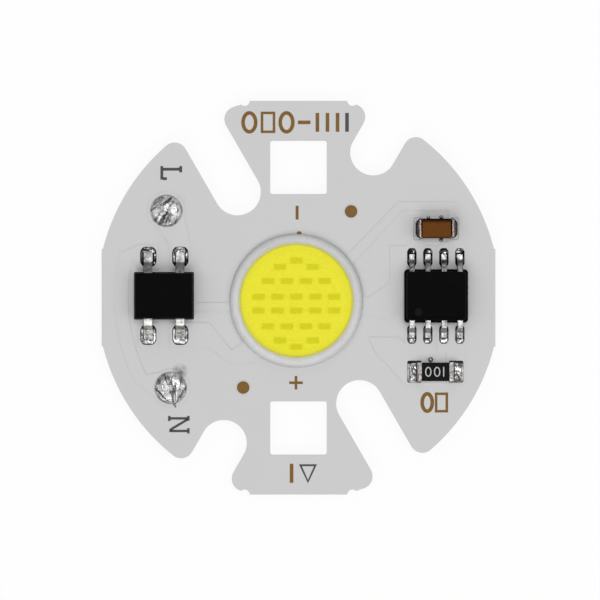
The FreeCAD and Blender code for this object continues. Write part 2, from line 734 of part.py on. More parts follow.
def make_mask(blank, islands):
    """The coat: flat on the insulation, raised over the copper, open over pads and dies."""
    low = worth(DIELECTRIC_TOP)
    high = worth(MASK_TOP)
    cover = worth("mask_side_cover")
    coat = blank.Shape.copy()
    raised = []
    for island in islands:
        for face in island.Shape.Faces:
            flat_underside = face.normalAt(0, 0).z < -0.99 and abs(face.CenterOfMass.z - low) < 1e-6
            if flat_underside:
                raised.append(face.makeOffset2D(cover).extrude(Vector(0, 0, high - low)))
    coat = coat.fuse(raised)
    inside = worth("dam_middle")
    middle = Vector(worth("source_x"), worth("source_y"), low)
    openings = [Part.makeCylinder(inside, high - low, middle)]
    for pad, radius in (("live", "wire_pad_radius"), ("neutral", "wire_pad_radius"),
                        ("upper_dot", "dot_radius"), ("lower_dot", "dot_radius")):
        foot = Vector(worth(f"{pad}_x"), worth(f"{pad}_y"), low)
        openings.append(Part.makeCylinder(worth(radius), high - low, foot))
    pads = solder_openings("bridge", 2) + solder_openings("driver", 4)
    pads += chip_openings("capacitor") + chip_openings("resistor")
    for pad in pads:
        openings.append(rounded_box(*map(worth, pad), low, high))
    coat = coat.cut(openings + [island.Shape for island in islands]).removeSplitter()
    mask = document.addObject("Part::Feature", "solder_mask")
    mask.Label = "solder_mask"
    mask.Shape = coat
    mask.Placement = FreeCAD.Placement()
    return mask


# The light source

def die_places():
    """The middles of the dies, in the order in which the bond wires join them."""
    def row(level, count, pitch, rightwards):
        steps = [i - (count - 1) / 2 for i in range(count)]
        if not rightwards:
            steps.reverse()
        return [(f"source_x + {step} * {pitch}", f"die_y + {level}") for step in steps]

    return (
        row("-row_fourth", 1, "die_pitch", True)
        + row("-row_third", 2, "die_pair_pitch", False)
        + row("-row_second", 4, "die_pitch", True)
        + row("-row_first", 5, "die_pitch", False)
        + row("row_first", 5, "die_pitch", True)
        + row("row_second", 4, "die_pitch", False)
        + row("row_third", 2, "die_pair_pitch", True)[:1]
        + row("row_fourth", 1, "die_pitch", True)
        + row("row_third", 2, "die_pair_pitch", True)[1:]
    )


def make_dies():
    """Light-emitting dies on the insulating layer, each half of them the other turned half round."""
    body = new_body("led_dies", "source_x", "die_y", DIELECTRIC_TOP)
    outline = new_sketch(body, "Outlines")
    upper_half = die_places()[len(die_places()) // 2:]
    for x, y in upper_half:
        draw_box(outline, f"{x} - source_x", f"{y} - die_y", "die_length", "die_width")
    half = add_pad(body, outline, "die_thickness", "Dies")
    turn_over(body, [half])
    return body


def bond_wire(start, end, crest):
    """A wire that climbs from its first bond and slopes down to its second, with six flat sides."""
    knee = start + (end - start) * worth("bond_knee")
    knee.z = crest
    path = Part.makePolygon([start, knee, end])
    along = (knee - start).normalize()
    side = along.cross(Vector(0, 0, 1)).normalize()
    above = side.cross(along)
    corners = []
    for i in range(7):
        turn = math.radians(60 * i)
        reach = side * math.cos(turn) + above * math.sin(turn)
        corners.append(start + reach * worth("bond_diameter / 2"))
    pipe = Part.BRepOffsetAPI.MakePipeShell(path)
    pipe.setTransitionMode(1)
    pipe.add(Part.makePolygon(corners))
    pipe.build()
    pipe.makeSolid()
    return pipe.shape()


def make_bond_wires(dies, pads):
    """The wires that join all dies in one string between the two bond pads."""
    top = worth(f"{DIELECTRIC_TOP} + die_thickness")
    sink = worth("bond_diameter")
    reach = worth("die_length / 2 - bond_inset")
    places = [Vector(worth(x), worth(y), top) for x, y in die_places()]
    middle = Vector(worth("source_x"), worth("source_y"), worth(COPPER_TOP))
    pad_radius = worth("bond_pad_radius - bond_pad_width / 2")

    def bond_pad_at(direction):
        turn = math.radians(worth(direction))
        return middle + Vector(math.cos(turn), math.sin(turn), 0) * pad_radius

    first = bond_pad_at("(first_pad_start + first_pad_stop) / 2")
    last = bond_pad_at("return_stop - last_bond_inset")
    stops = [(first, first)]
    for i, place_now in enumerate(places):
        before = places[i - 1].x if i else middle.x - pad_radius
        after = places[i + 1].x if i + 1 < len(places) else middle.x + pad_radius
        entry = math.copysign(reach, before - place_now.x)
        way_out = math.copysign(reach, after - place_now.x)
        if entry == way_out:
            entry, way_out = entry, -entry
        stops.append((place_now + Vector(entry, 0, 0), place_now + Vector(way_out, 0, 0)))
    stops.append((last, last))

    crest = top + worth("bond_rise")
    below = Vector(0, 0, -sink)
    wires = []
    for (_, start), (end, _) in zip(stops, stops[1:]):
        wires.append(bond_wire(start + below, end + below, crest))
    takers = [dies.Shape] + [pad.Shape for pad in pads]
    trimmed = [wire.cut(takers) for wire in wires]
    solids = [max(shape.Solids, key=lambda solid: solid.Volume) for shape in trimmed]
    bonds = document.addObject("Part::Feature", "bond_wires")
    bonds.Label = "bond_wires"
    bonds.Shape = Part.makeCompound(solids)
    bonds.Placement = FreeCAD.Placement()
    return bonds


def make_dam_bead():
    """A bead of silicone laid in a ring."""
    body = new_body("silicone_bead", "source_x", "source_y", DIELECTRIC_TOP)
    section = new_sketch(body, "Section", plane="XZ_Plane")
    foot, height = worth("dam_foot / 2"), worth("dam_height")
    inner, outer = worth("dam_middle") - foot, worth("dam_middle") + foot
    start, end = Vector(inner, 0, 0), Vector(outer, 0, 0)
    crown = Vector(worth("dam_middle"), height, 0)
    base = section.addGeometry(Part.LineSegment(start, end), False)
    bow = section.addGeometry(Part.Arc(end, crown, start), False)
    section.addConstraint(Sketcher.Constraint("Coincident", base, 1, bow, 2))
    section.addConstraint(Sketcher.Constraint("Coincident", base, 2, bow, 1))
    section.addConstraint(Sketcher.Constraint("PointOnObject", base, 1, -1))
    section.addConstraint(Sketcher.Constraint("PointOnObject", base, 2, -1))
    hold(section, "DistanceX", (-1, 1, base, 1), "dam_middle - dam_foot / 2")
    hold(section, "DistanceX", (base, 1, base, 2), "dam_foot")
    hold(section, "Radius", (bow,), "(dam_foot * dam_foot / 4 + dam_height * dam_height) / (2 * dam_height)")
    ring = body.newObject("PartDesign::Revolution", "Ring")
    ring.Profile = section
    ring.ReferenceAxis = (origin_part(body, "Z_Axis"), [""])
    ring.Angle = 360
    document.recompute()
    return body


def make_fill_blank():
    """Phosphor up to the middle line of the dam, a little higher in the middle."""
    body = new_body("phosphor_blank", "source_x", "source_y", DIELECTRIC_TOP)
    section = new_sketch(body, "Section", plane="XZ_Plane")
    radius, rim, crown = worth("dam_middle"), worth("fill_rim"), worth("fill_crown")
    corners = [Vector(0, 0, 0), Vector(radius, 0, 0), Vector(radius, rim, 0), Vector(0, rim + crown, 0)]
    bulge = (radius ** 2 + crown ** 2) / (2 * crown)
    middle = Vector(0, rim + crown - bulge, 0)
    lines = [
        section.addGeometry(Part.LineSegment(corners[0], corners[1]), False),
        section.addGeometry(Part.LineSegment(corners[1], corners[2]), False),
    ]
    turn = math.atan2(rim - middle.y, radius)
    surface = section.addGeometry(
        Part.ArcOfCircle(Part.Circle(middle, Vector(0, 0, 1), bulge), turn, math.pi / 2), False)
    axis = section.addGeometry(Part.LineSegment(corners[3], corners[0]), False)
    for a, a_end, b, b_end in ((lines[0], 2, lines[1], 1), (lines[1], 2, surface, 1),
                               (surface, 2, axis, 1), (axis, 2, lines[0], 1)):
        section.addConstraint(Sketcher.Constraint("Coincident", a, a_end, b, b_end))
    section.addConstraint(Sketcher.Constraint("Coincident", lines[0], 1, -1, 1))
    section.addConstraint(Sketcher.Constraint("Horizontal", lines[0]))
    section.addConstraint(Sketcher.Constraint("Vertical", lines[1]))
    section.addConstraint(Sketcher.Constraint("PointOnObject", surface, 3, -2))
    section.addConstraint(Sketcher.Constraint("PointOnObject", axis, 1, -2))
    hold(section, "DistanceX", (-1, 1, lines[0], 2), "dam_middle")
    hold(section, "DistanceY", (lines[1], 1, lines[1], 2), "fill_rim")
    hold(section, "DistanceY", (-1, 1, axis, 1), "fill_rim + fill_crown")
    fill = body.newObject("PartDesign::Revolution", "Fill")
    fill.Profile = section
    fill.ReferenceAxis = (origin_part(body, "Z_Axis"), [""])
    fill.Angle = 360
    document.recompute()
    return body


# Moulded parts and their leads

BODY_FOOT = f"({MASK_TOP} + body_lift)"


def make_moulded_block(label, part):
    """A moulded block whose sides slope both ways from the level of its leads."""
    body = new_body(label, f"{part}_x", f"{part}_y", f"{BODY_FOOT} + {part}_height / 2")
    for name, side in (("Upper", 1), ("Lower", -1)):
        outline = new_sketch(body, name + "Outline")
        draw_box(outline, "0", "0", f"{part}_length", f"{part}_width")
        half = add_pad(body, outline, f"{part}_height / 2", name, taper="-mould_draft")
        half.Reversed = side < 0
        document.recompute()
    return body


def make_driver_block():
    """The driver's body, bevelled along its first row of leads, with its round mark."""
    body = make_moulded_block("driver_block", "driver")
    half = worth("driver_height / 2")

    def front_top_edge(edge):
        middle = edge.CenterOfMass
        return abs(middle.z - half) < 1e-4 and middle.y < -1e-4

    bevelled = bevel_edges(body, body.Tip, front_top_edge, "driver_bevel")
    dimple = new_sketch(body, "Dimple", "driver_height / 2 - dimple_depth")
    draw_circle(dimple, "dimple_x", "dimple_y", "dimple_radius")
    pocket = body.newObject("PartDesign::Pocket", "DimpleCut")
    pocket.Profile = dimple
    pocket.setExpression("Length", bound("2 * dimple_depth"))
    pocket.Reversed = True
    document.recompute()
    if pocket.Shape.Volume >= bevelled.Shape.Volume - 1e-9:
        pocket.Reversed = False
        document.recompute()
    return body


def make_leads(label, part, count):
    """Gull-wing leads in two rows, bent down from the block to their feet."""
    body = new_body(label, f"{part}_x - {(count - 1) / 2} * {part}_pitch", f"{part}_y", FOOT_LEVEL)
    rise = f"({BODY_FOOT} + {part}_height / 2 - {FOOT_LEVEL})"
    root = f"({part}_width / 2 - lead_root)"
    heel = f"({part}_span / 2 - {part}_foot)"
    shoulder = f"({heel} - lead_fall)"
    half = "lead_thickness / 2"
    rows = []
    for name, side in (("Upper", ""), ("Lower", "-")):
        profile = new_sketch(body, name + "Profile", plane="YZ_Plane")
        draw_polygon(profile, [
            (f"{side}{root}", f"{rise} - {half}"),
            (f"{side}({shoulder} - {half})", f"{rise} - {half}"),
            (f"{side}({heel} - {half})", "0"),
            (f"{side}({part}_span / 2)", "0"),
            (f"{side}({part}_span / 2)", "lead_thickness"),
            (f"{side}({heel} + {half})", "lead_thickness"),
            (f"{side}({shoulder} + {half})", f"{rise} + {half}"),
            (f"{side}{root}", f"{rise} + {half}"),
        ])
        rows.append(add_pad(body, profile, f"{part}_lead_width", name, both_ways=True))
    repeat_across(body, rows, f"{part}_pitch", count)
    return body


def solder_mound(x, y, length, width, corner, height):
    """A mound on a rounded pad: upright in the coat's opening, then drawn in to a smaller top."""
    low = worth(COPPER_TOP)
    rim = worth("mask_thickness")
    slope = math.tan(math.radians(worth("solder_slope")))
    draw_in = min(slope * (height - rim), min(length, width) / 4)
    shoulder = (worth("shoulder_share"), worth("shoulder_level") * height)
    sections = []
    for share, level in ((0, rim), shoulder, (1, height)):
        inset = share * draw_in
        block = rounded_box(x, y, length - 2 * inset, width - 2 * inset, corner, low, low + level)
        top = max(block.Faces, key=lambda face: face.CenterOfMass.z)
        sections.append(top.OuterWire)
    foot = rounded_box(x, y, length, width, corner, low, low + rim)
    return foot.fuse(Part.makeLoft(sections, True, True))


def make_mounds(label, boxes, height, takers):
    """Solder on each pad, less the feet or terminals that stand in it."""
    solids = [solder_mound(*map(worth, box), worth(height)) for box in boxes]
    solder = Part.makeCompound(solids).cut([taker.Shape for taker in takers])
    item = document.addObject("Part::Feature", label)
    item.Label = label
    item.Shape = solder
    item.Placement = FreeCAD.Placement()
    return item


# Chips

def make_chip_core(label, part):
    """The ceramic block of a chip, inside its terminals."""
    core = document.addObject("Part::Box", label)
    core.Label = label
    skin = "terminal_skin"
    core.setExpression("Length", bound(f"{part}_length - 2 * {skin}"))
    core.setExpression("Width", bound(f"{part}_width - 2 * {skin}"))
    core.setExpression("Height", bound(f"{part}_height - 2 * {skin}"))
    place(core, f"{part}_x - {part}_length / 2 + {skin}", f"{part}_y - {part}_width / 2 + {skin}",
          f"{FOOT_LEVEL} + {skin}")
    document.recompute()
    return core


def make_terminals(label, part, core):
    """Two plated caps that wrap the ends of a chip."""
    body = new_body(f"{label}_blank", f"{part}_x", f"{part}_y", FOOT_LEVEL)
    outline = new_sketch(body, "Outline")
    middle = f"({part}_length / 2 - {part}_terminal / 2)"
    for side in ("", "-"):
        draw_box(outline, f"{side}{middle}", "0", f"{part}_terminal", f"{part}_width")
    add_pad(body, outline, f"{part}_height", "Caps")

    def outer_corner(edge):
        reach = abs(edge.CenterOfMass.x)
        return is_upright(edge) and abs(reach - worth(f"{part}_length / 2")) < 1e-4

    round_edges(body, body.Tip, outer_corner, "terminal_skin", "Corners")
    return cut_from(label, body, [core])


def make_glaze(core):
    """The black coat between the resistor's terminals, and the film under it."""
    glaze = document.addObject("Part::Box", "resistor_glaze_coat")
    glaze.Label = "resistor_overcoat"
    glaze.setExpression("Length", bound("resistor_length - 2 * resistor_terminal"))
    glaze.setExpression("Width", bound("resistor_width - 2 * terminal_skin"))
    glaze.setExpression("Height", bound("resistor_glaze"))
    place(glaze, "resistor_x - resistor_length / 2 + resistor_terminal",
          "resistor_y - resistor_width / 2 + terminal_skin",
          f"{FOOT_LEVEL} + resistor_height - terminal_skin")
    document.recompute()
    return glaze


def make_dome(label, x, y):
    """A dome of solder on a wire pad, a segment of a ball."""
    body = new_body(label, x, y, COPPER_TOP)
    section = new_sketch(body, "Section", plane="XZ_Plane")
    radius, height = worth("wire_pad_radius"), worth("dome_height")
    ball = (radius ** 2 + height ** 2) / (2 * height)
    middle = Vector(0, height - ball, 0)
    turn = math.atan2(-middle.y, radius)
    base = section.addGeometry(Part.LineSegment(Vector(0, 0, 0), Vector(radius, 0, 0)), False)
    bow = section.addGeometry(
        Part.ArcOfCircle(Part.Circle(middle, Vector(0, 0, 1), ball), turn, math.pi / 2), False)
    axis = section.addGeometry(Part.LineSegment(Vector(0, height, 0), Vector(0, 0, 0)), False)
    section.addConstraint(Sketcher.Constraint("Coincident", base, 1, -1, 1))
    section.addConstraint(Sketcher.Constraint("Coincident", base, 2, bow, 1))
    section.addConstraint(Sketcher.Constraint("Coincident", bow, 2, axis, 1))
    section.addConstraint(Sketcher.Constraint("Coincident", axis, 2, base, 1))
    section.addConstraint(Sketcher.Constraint("Horizontal", base))
    section.addConstraint(Sketcher.Constraint("PointOnObject", bow, 3, -2))
    section.addConstraint(Sketcher.Constraint("PointOnObject", axis, 1, -2))
    hold(section, "DistanceX", (-1, 1, base, 2), "wire_pad_radius")
    hold(section, "DistanceY", (-1, 1, axis, 1), "dome_height")
    dome = body.newObject("PartDesign::Revolution", "Dome")
    dome.Profile = section
    dome.ReferenceAxis = (origin_part(body, "Z_Axis"), [""])
    dome.Angle = 360
    document.recompute()
    return body


# All sub-parts, from the board up

base = make_board_layer("aluminium_base", "0", "base_thickness")
dielectric = make_board_layer("dielectric_layer", "base_thickness", "dielectric_thickness")

live = make_live_copper()
neutral = make_neutral_copper()
positive = make_positive_copper()
ground = make_ground_copper()
returning = make_return_copper()
sense = make_sense_copper()
supply = make_supply_copper()
dots = make_reference_dots()
islands = [live, neutral, positive, ground, returning, sense, supply, dots]

mask_blank = make_board_layer("mask_blank", DIELECTRIC_TOP, "mask_thickness")
mask = make_mask(mask_blank, islands)

dies = make_dies()
bonds = make_bond_wires(dies, [positive, returning])
bead = make_dam_bead()
dam = cut_from("silicone_dam", bead, [mask, positive, ground, returning, sense])
fill_blank = make_fill_blank()
fill = cut_from("phosphor_fill", fill_blank, [dam, mask, dies, bonds, positive, ground, returning])

bridge_leads = make_leads("bridge_leads", "bridge", 2)
bridge_body = cut_from("bridge_body", make_moulded_block("bridge_block", "bridge"), [bridge_leads])
bridge_solder = make_mounds("bridge_solder", solder_openings("bridge", 2), "solder_height", [bridge_leads])

driver_leads = make_leads("driver_leads", "driver", 4)
driver_body = cut_from("driver_body", make_driver_block(), [driver_leads])
driver_solder = make_mounds("driver_solder", solder_openings("driver", 4), "solder_height", [driver_leads])

capacitor_body = make_chip_core("capacitor_body", "capacitor")
capacitor_terminals = make_terminals("capacitor_terminals", "capacitor", capacitor_body)
capacitor_solder = make_mounds("capacitor_solder", chip_openings("capacitor"), "capacitor_solder_height",
                               [capacitor_terminals, capacitor_body])

resistor_body = make_chip_core("resistor_body", "resistor")
resistor_terminals = make_terminals("resistor_terminals", "resistor", resistor_body)
resistor_overcoat = make_glaze(resistor_body)
resistor_solder = make_mounds("resistor_solder", chip_openings("resistor"), "resistor_solder_height",
                              [resistor_terminals, resistor_body])

live_dome = make_dome("live_solder_dome", "live_x", "live_y")
neutral_dome = make_dome("neutral_solder_dome", "neutral_x", "neutral_y")

SUB_PARTS = [
    base, dielectric, live, neutral, positive, ground, returning, sense, supply, dots, mask,
    dies, bonds, dam, fill,
    bridge_body, bridge_leads, bridge_solder,
    driver_body, driver_leads, driver_solder,
    capacitor_body, capacitor_terminals, capacitor_solder,
    resistor_body, resistor_terminals, resistor_overcoat, resistor_solder,
    live_dome, neutral_dome,
]

document.recompute()
for item in document.Objects:
    if "Invalid" in item.State or "Error" in item.State:
        raise RuntimeError(f"{item.Label} did not build")

os.makedirs("parts", exist_ok=True)
for sub_part in SUB_PARTS:
    shape = sub_part.Shape
    if shape.isNull() or not shape.isValid():
        raise RuntimeError(f"{sub_part.Label} has no valid shape")
    shape.exportStep(f"parts/{sub_part.Label}.step")
    print(sub_part.Label, len(shape.Solids), round(shape.Volume, 4))
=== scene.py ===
import math
from collections import namedtuple

import bmesh
import bpy
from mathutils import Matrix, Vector


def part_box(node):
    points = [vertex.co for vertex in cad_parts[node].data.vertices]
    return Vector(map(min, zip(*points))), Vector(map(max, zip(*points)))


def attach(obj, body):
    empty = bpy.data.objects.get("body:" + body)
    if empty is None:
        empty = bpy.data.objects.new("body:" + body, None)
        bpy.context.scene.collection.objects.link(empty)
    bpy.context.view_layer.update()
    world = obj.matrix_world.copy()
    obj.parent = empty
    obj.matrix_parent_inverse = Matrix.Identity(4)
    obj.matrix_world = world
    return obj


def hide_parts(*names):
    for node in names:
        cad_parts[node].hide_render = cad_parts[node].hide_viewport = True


# A driverless light engine on a round metal-core board, seen from straight above.
# Lengths are in metres, in the frame of the part, with +Z out of the lit side.
# Finishes and the marks on the board are measured in millimetres in the same frame.

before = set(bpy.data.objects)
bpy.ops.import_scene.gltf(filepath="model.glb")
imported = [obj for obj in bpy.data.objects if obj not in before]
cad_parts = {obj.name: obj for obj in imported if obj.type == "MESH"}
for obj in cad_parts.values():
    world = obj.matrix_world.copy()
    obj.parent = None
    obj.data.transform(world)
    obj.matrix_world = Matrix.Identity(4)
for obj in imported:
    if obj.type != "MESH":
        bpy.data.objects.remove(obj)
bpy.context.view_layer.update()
MM = 0.001


def limits(node):
    low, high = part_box(node)
    return Vector(low), Vector(high)


def middle_of(node):
    low, high = limits(node)
    return (low + high) / 2


# Nodes of materials and of Geometry Nodes trees

class Signal:
    """An output socket whose arithmetic adds Math nodes."""

    def __init__(self, tree, socket):
        self.tree = tree
        self.socket = socket

    def math(self, operation, *values, clamp=False):
        settings = {"operation": operation, "use_clamp": clamp}
        return add(self.tree, "ShaderNodeMath", settings, dict(enumerate(values)))

    def __add__(self, other):
        return self.math("ADD", self, other)

    __radd__ = __add__

    def __sub__(self, other):
        return self.math("SUBTRACT", self, other)

    def __rsub__(self, other):
        return self.math("SUBTRACT", other, self)

    def __mul__(self, other):
        return self.math("MULTIPLY", self, other)

    __rmul__ = __mul__

    def __truediv__(self, other):
        return self.math("DIVIDE", self, other)

    def __rtruediv__(self, other):
        return self.math("DIVIDE", other, self)

    def __pow__(self, other):
        return self.math("POWER", self, other)

    def __gt__(self, other):
        return self.math("GREATER_THAN", self, other)

    def __abs__(self):
        return self.math("ABSOLUTE", self)

    def at_least(self, other):
        return self.math("MAXIMUM", self, other)

    def at_most(self, other):
        return self.math("MINIMUM", self, other)

    def kept_in(self):
        """The value held between 0 and 1."""
        return self.math("ADD", self, 0.0, clamp=True)

    def rising(self, start, slope):
        """0 up to a start, then up to 1 at a slope."""
        return ((self - start) * slope).kept_in()

    def falling(self, end, slope):
        """1, then down at a slope to 0 at an end."""
        return ((end - self) * slope).kept_in()


def add(tree, kind, settings=None, inputs=None, output=0):
    """Adds a node: its settings first, then the values or links of its sockets."""
    node = tree.nodes.new(kind)
    for name, value in (settings or {}).items():
        setattr(node, name, value)
    for name, value in (inputs or {}).items():
        if isinstance(value, Signal):
            tree.links.new(value.socket, node.inputs[name])
        else:
            node.inputs[name].default_value = value
    return Signal(tree, node.outputs[output])


def combined(tree, x, y, z):
    return add(tree, "ShaderNodeCombineXYZ", None, {0: x, 1: y, 2: z})


def rgb(red, green, blue):
    """A colour as the eye names it, 0 to 255, as the renderer wants it."""
    def linear(value):
        value /= 255
        return value / 12.92 if value <= 0.04045 else ((value + 0.055) / 1.055) ** 2.4
    return (linear(red), linear(green), linear(blue), 1.0)


class Finish:
    """A material under construction: one Principled shader and what varies on it."""

    def __init__(self, name, color, roughness, metallic=0.0, **constants):
        self.material = bpy.data.materials.new(name)
        self.material.use_nodes = True
        self.tree = self.material.node_tree
        self.shader = self.tree.nodes["Principled BSDF"]
        self.shader.inputs["Base Color"].default_value = color
        self.shader.inputs["Roughness"].default_value = roughness
        self.shader.inputs["Metallic"].default_value = metallic
        for socket, value in constants.items():
            self.shader.inputs[socket.replace("_", " ")].default_value = value
        self.place = add(self.tree, "ShaderNodeTexCoord", output="Object")
        self.height = None

    def feed(self, socket, signal):
        self.tree.links.new(signal.socket, self.shader.inputs[socket])

    def noise(self, grain, detail=3.0, stretch=(1, 1, 1)):
        """Cloudy pattern whose patches are about grain millimetres wide."""
        scale = tuple(s / (grain * MM) for s in stretch)
        spot = add(self.tree, "ShaderNodeMapping", None, {"Vector": self.place, "Scale": scale})
        return add(self.tree, "ShaderNodeTexNoise", None, {
            "Vector": spot, "Scale": 1.0, "Detail": detail, "Roughness": 0.55})

    def mix(self, share, first, second):
        """A colour between two, by a share from 0 to 1."""
        return add(self.tree, "ShaderNodeMix", {"data_type": "RGBA", "clamp_factor": True},
                   {0: share, 6: first, 7: second}, output=2)

    def position(self, axis):
        """Millimetres along one axis of the part."""
        return add(self.tree, "ShaderNodeSeparateXYZ", None, {0: self.place}, output=axis) / MM

    def distance(self, x, y):
        """Millimetres from a place on the board, measured flat."""
        flat = add(self.tree, "ShaderNodeMapping", None, {
            "Vector": self.place, "Location": (-x, -y, 0), "Scale": (1 / MM, 1 / MM, 0)})
        return add(self.tree, "ShaderNodeVectorMath", {"operation": "LENGTH"}, {0: flat}, output="Value")

    def bump(self, height, depth):
        """Relief of a depth in millimetres from a height pattern of 0 to 1."""
        inputs = {"Height": height, "Strength": 1.0, "Distance": depth * MM}
        if self.height:
            inputs["Normal"] = self.height
        self.height = add(self.tree, "ShaderNodeBump", None, inputs)
        self.feed("Normal", self.height)


# Places on the part

SOURCE = middle_of("silicone_dam")
SOURCE_RADIUS = 4.44 * MM  # where the phosphor meets the dam
DAM_LOW, DAM_HIGH = limits("silicone_dam")
DAM_OUTER = (DAM_HIGH.x - DAM_LOW.x) / 2
INSULATION_TOP = limits("dielectric_layer")[1].z
FOIL_TOP = limits("copper_ground")[1].z
COAT_TOP = limits("solder_mask")[1].z
COAT_THICKNESS = COAT_TOP - FOIL_TOP
LOW_COAT = INSULATION_TOP + COAT_THICKNESS
DIMPLE = middle_of("driver_body") + Vector((-1.42 * MM, -1.28 * MM, 0))
DIMPLE_RIM = 0.36 * MM

# A moulded package: its nodes, its two rows of leads, and its pads, from PAD_NEAR to pad_far of its middle
Package = namedtuple("Package", "body leads solder pitch count lead_width foot pad_width pad_far")
RECTIFIER = Package(
    body="bridge_body", leads="bridge_leads", solder="bridge_solder", pitch=2.54 * MM, count=2,
    lead_width=0.7 * MM, foot=0.8 * MM, pad_width=1.3 * MM, pad_far=3.9 * MM)
DRIVER = Package(
    body="driver_body", leads="driver_leads", solder="driver_solder", pitch=1.27 * MM, count=4,
    lead_width=0.42 * MM, foot=0.45 * MM, pad_width=0.75 * MM, pad_far=3.8 * MM)
PAD_NEAR = 2.3 * MM
TOE_REACH = 3.3 * MM  # from a package's middle to the ends of its leads, as the solder shows them


# Finishes

STAINS = (  # x, y and reach in millimetres, and strength
    (-9.42, -5.85, 0.7, 1.7),
    (-9.3, 7.9, 0.5, 0.12),
    (10.5, -4.9, 0.5, 0.15),
    (-10.6, 4.3, 0.8, 0.08),
)


def white_coat():
    """Light grey ink, faintly mottled, stained where flux boiled out beside a joint."""
    coat = Finish("white_coat", rgb(205, 205, 206), 0.5)
    clouds = coat.noise(7.0, detail=2.0)
    specks = coat.noise(0.12, detail=2.0)
    tone = (clouds - 0.5) * 0.16 + (specks - 0.5) * 0.1 + 0.5
    color = coat.mix(tone, rgb(199, 199, 201), rgb(211, 211, 211))
    wisps = coat.noise(0.5, detail=4.0)
    for x, y, reach, strength in STAINS:
        near = (1 - coat.distance(x, y) / reach).kept_in()
        color = coat.mix((near * (wisps * 2.4 - 0.6) * strength).kept_in(), color, rgb(118, 112, 104))
    coat.feed("Base Color", color)
    coat.feed("Roughness", 0.42 + clouds * 0.14)
    coat.bump(specks, depth=0.004)
    coat.bump(clouds, depth=0.03)
    return coat.material


def rolled_aluminium():
    """Rolled sheet with fine lines along the rolling."""
    sheet = Finish("rolled_aluminium", rgb(200, 202, 205), 0.38, 1.0)
    lines = sheet.noise(0.05, detail=3.0, stretch=(1, 0.02, 1))
    sheet.feed("Base Color", sheet.mix(lines, rgb(178, 180, 184), rgb(214, 216, 219)))
    sheet.feed("Roughness", 0.3 + lines * 0.2)
    sheet.bump(lines, depth=0.004)
    return sheet.material


def filled_epoxy():
    """The insulating layer, seen as a pale line on the cut edges."""
    layer = Finish("filled_epoxy", rgb(196, 194, 184), 0.6)
    specks = layer.noise(0.06, detail=2.0)
    layer.feed("Base Color", layer.mix(specks, rgb(176, 173, 162), rgb(206, 204, 194)))
    return layer.material


def tarnished_copper():
    """Bare foil gone brown."""
    foil = Finish("tarnished_copper", rgb(122, 88, 34), 0.55, 0.2, Specular_IOR_Level=0.3)
    patches = foil.noise(0.35, detail=3.0)
    foil.feed("Base Color", foil.mix(patches, rgb(102, 70, 24), rgb(140, 104, 44)))
    foil.feed("Roughness", 0.4 + patches * 0.2)
    return foil.material


def bare_insulation():
    """Marks that lie off the foil and show the dark layer under the coat."""
    mark = Finish("bare_insulation", rgb(66, 66, 68), 0.6)
    patches = mark.noise(0.3, detail=3.0)
    mark.feed("Base Color", mark.mix(patches, rgb(52, 52, 54), rgb(80, 80, 82)))
    return mark.material


def phosphor_silicone():
    """Yellow phosphor in clear silicone, thin enough for the dies to show, with a very faint painted glow.
    """
    gel = Finish("phosphor_silicone", rgb(232, 227, 52), 0.4, Alpha=0.38, Specular_IOR_Level=0.2,
                 Emission_Color=rgb(234, 228, 40), Emission_Strength=0.02)
    haze = gel.noise(1.6, detail=3.0)
    specks = gel.noise(0.05, detail=2.0)
    tone = gel.mix((haze - 0.3) * 0.9 + (specks - 0.5) * 0.3, rgb(232, 227, 34), rgb(240, 235, 54))
    share_of_radius = gel.distance(*SOURCE.xy / MM) / (SOURCE_RADIUS / MM)
    rim = share_of_radius.rising(0.86, slope=7)
    gel.feed("Base Color", gel.mix(rim * 0.4, tone, rgb(226, 220, 34)))
    return gel.material


def settled_phosphor():
    """Phosphor that sank to the bottom of the silicone and glows a little between the dies."""
    bed = Finish("settled_phosphor", rgb(236, 230, 50), 0.6,
                 Emission_Color=rgb(236, 230, 44), Emission_Strength=0.15)
    haze = bed.noise(1.2, detail=2.0)
    bed.feed("Base Color", bed.mix(haze, rgb(237, 232, 46), rgb(243, 238, 60)))
    return bed.material


def sawn_die():
    """A die, in the yellow-green tint that it has under the phosphor, with a faint painted glow."""
    die = Finish("sawn_die", rgb(210, 208, 2), 0.5, Specular_IOR_Level=0.1,
                 Emission_Color=rgb(204, 204, 6), Emission_Strength=0.1)
    patches = die.noise(0.2, detail=2.0)
    die.feed("Base Color", die.mix(patches, rgb(206, 205, 0), rgb(213, 212, 4)))
    return die.material


def gold_wire():
    """Gold under a dusting of phosphor, with a faint painted glow."""
    wire = Finish("gold_wire", rgb(224, 218, 30), 0.7,
                  Emission_Color=rgb(236, 230, 44), Emission_Strength=0.15)
    dusting = wire.noise(0.1, detail=2.0)
    wire.feed("Base Color", wire.mix(dusting, rgb(228, 223, 28), rgb(238, 233, 44)))
    wire.feed("Metallic", dusting * 0.1)
    return wire.material


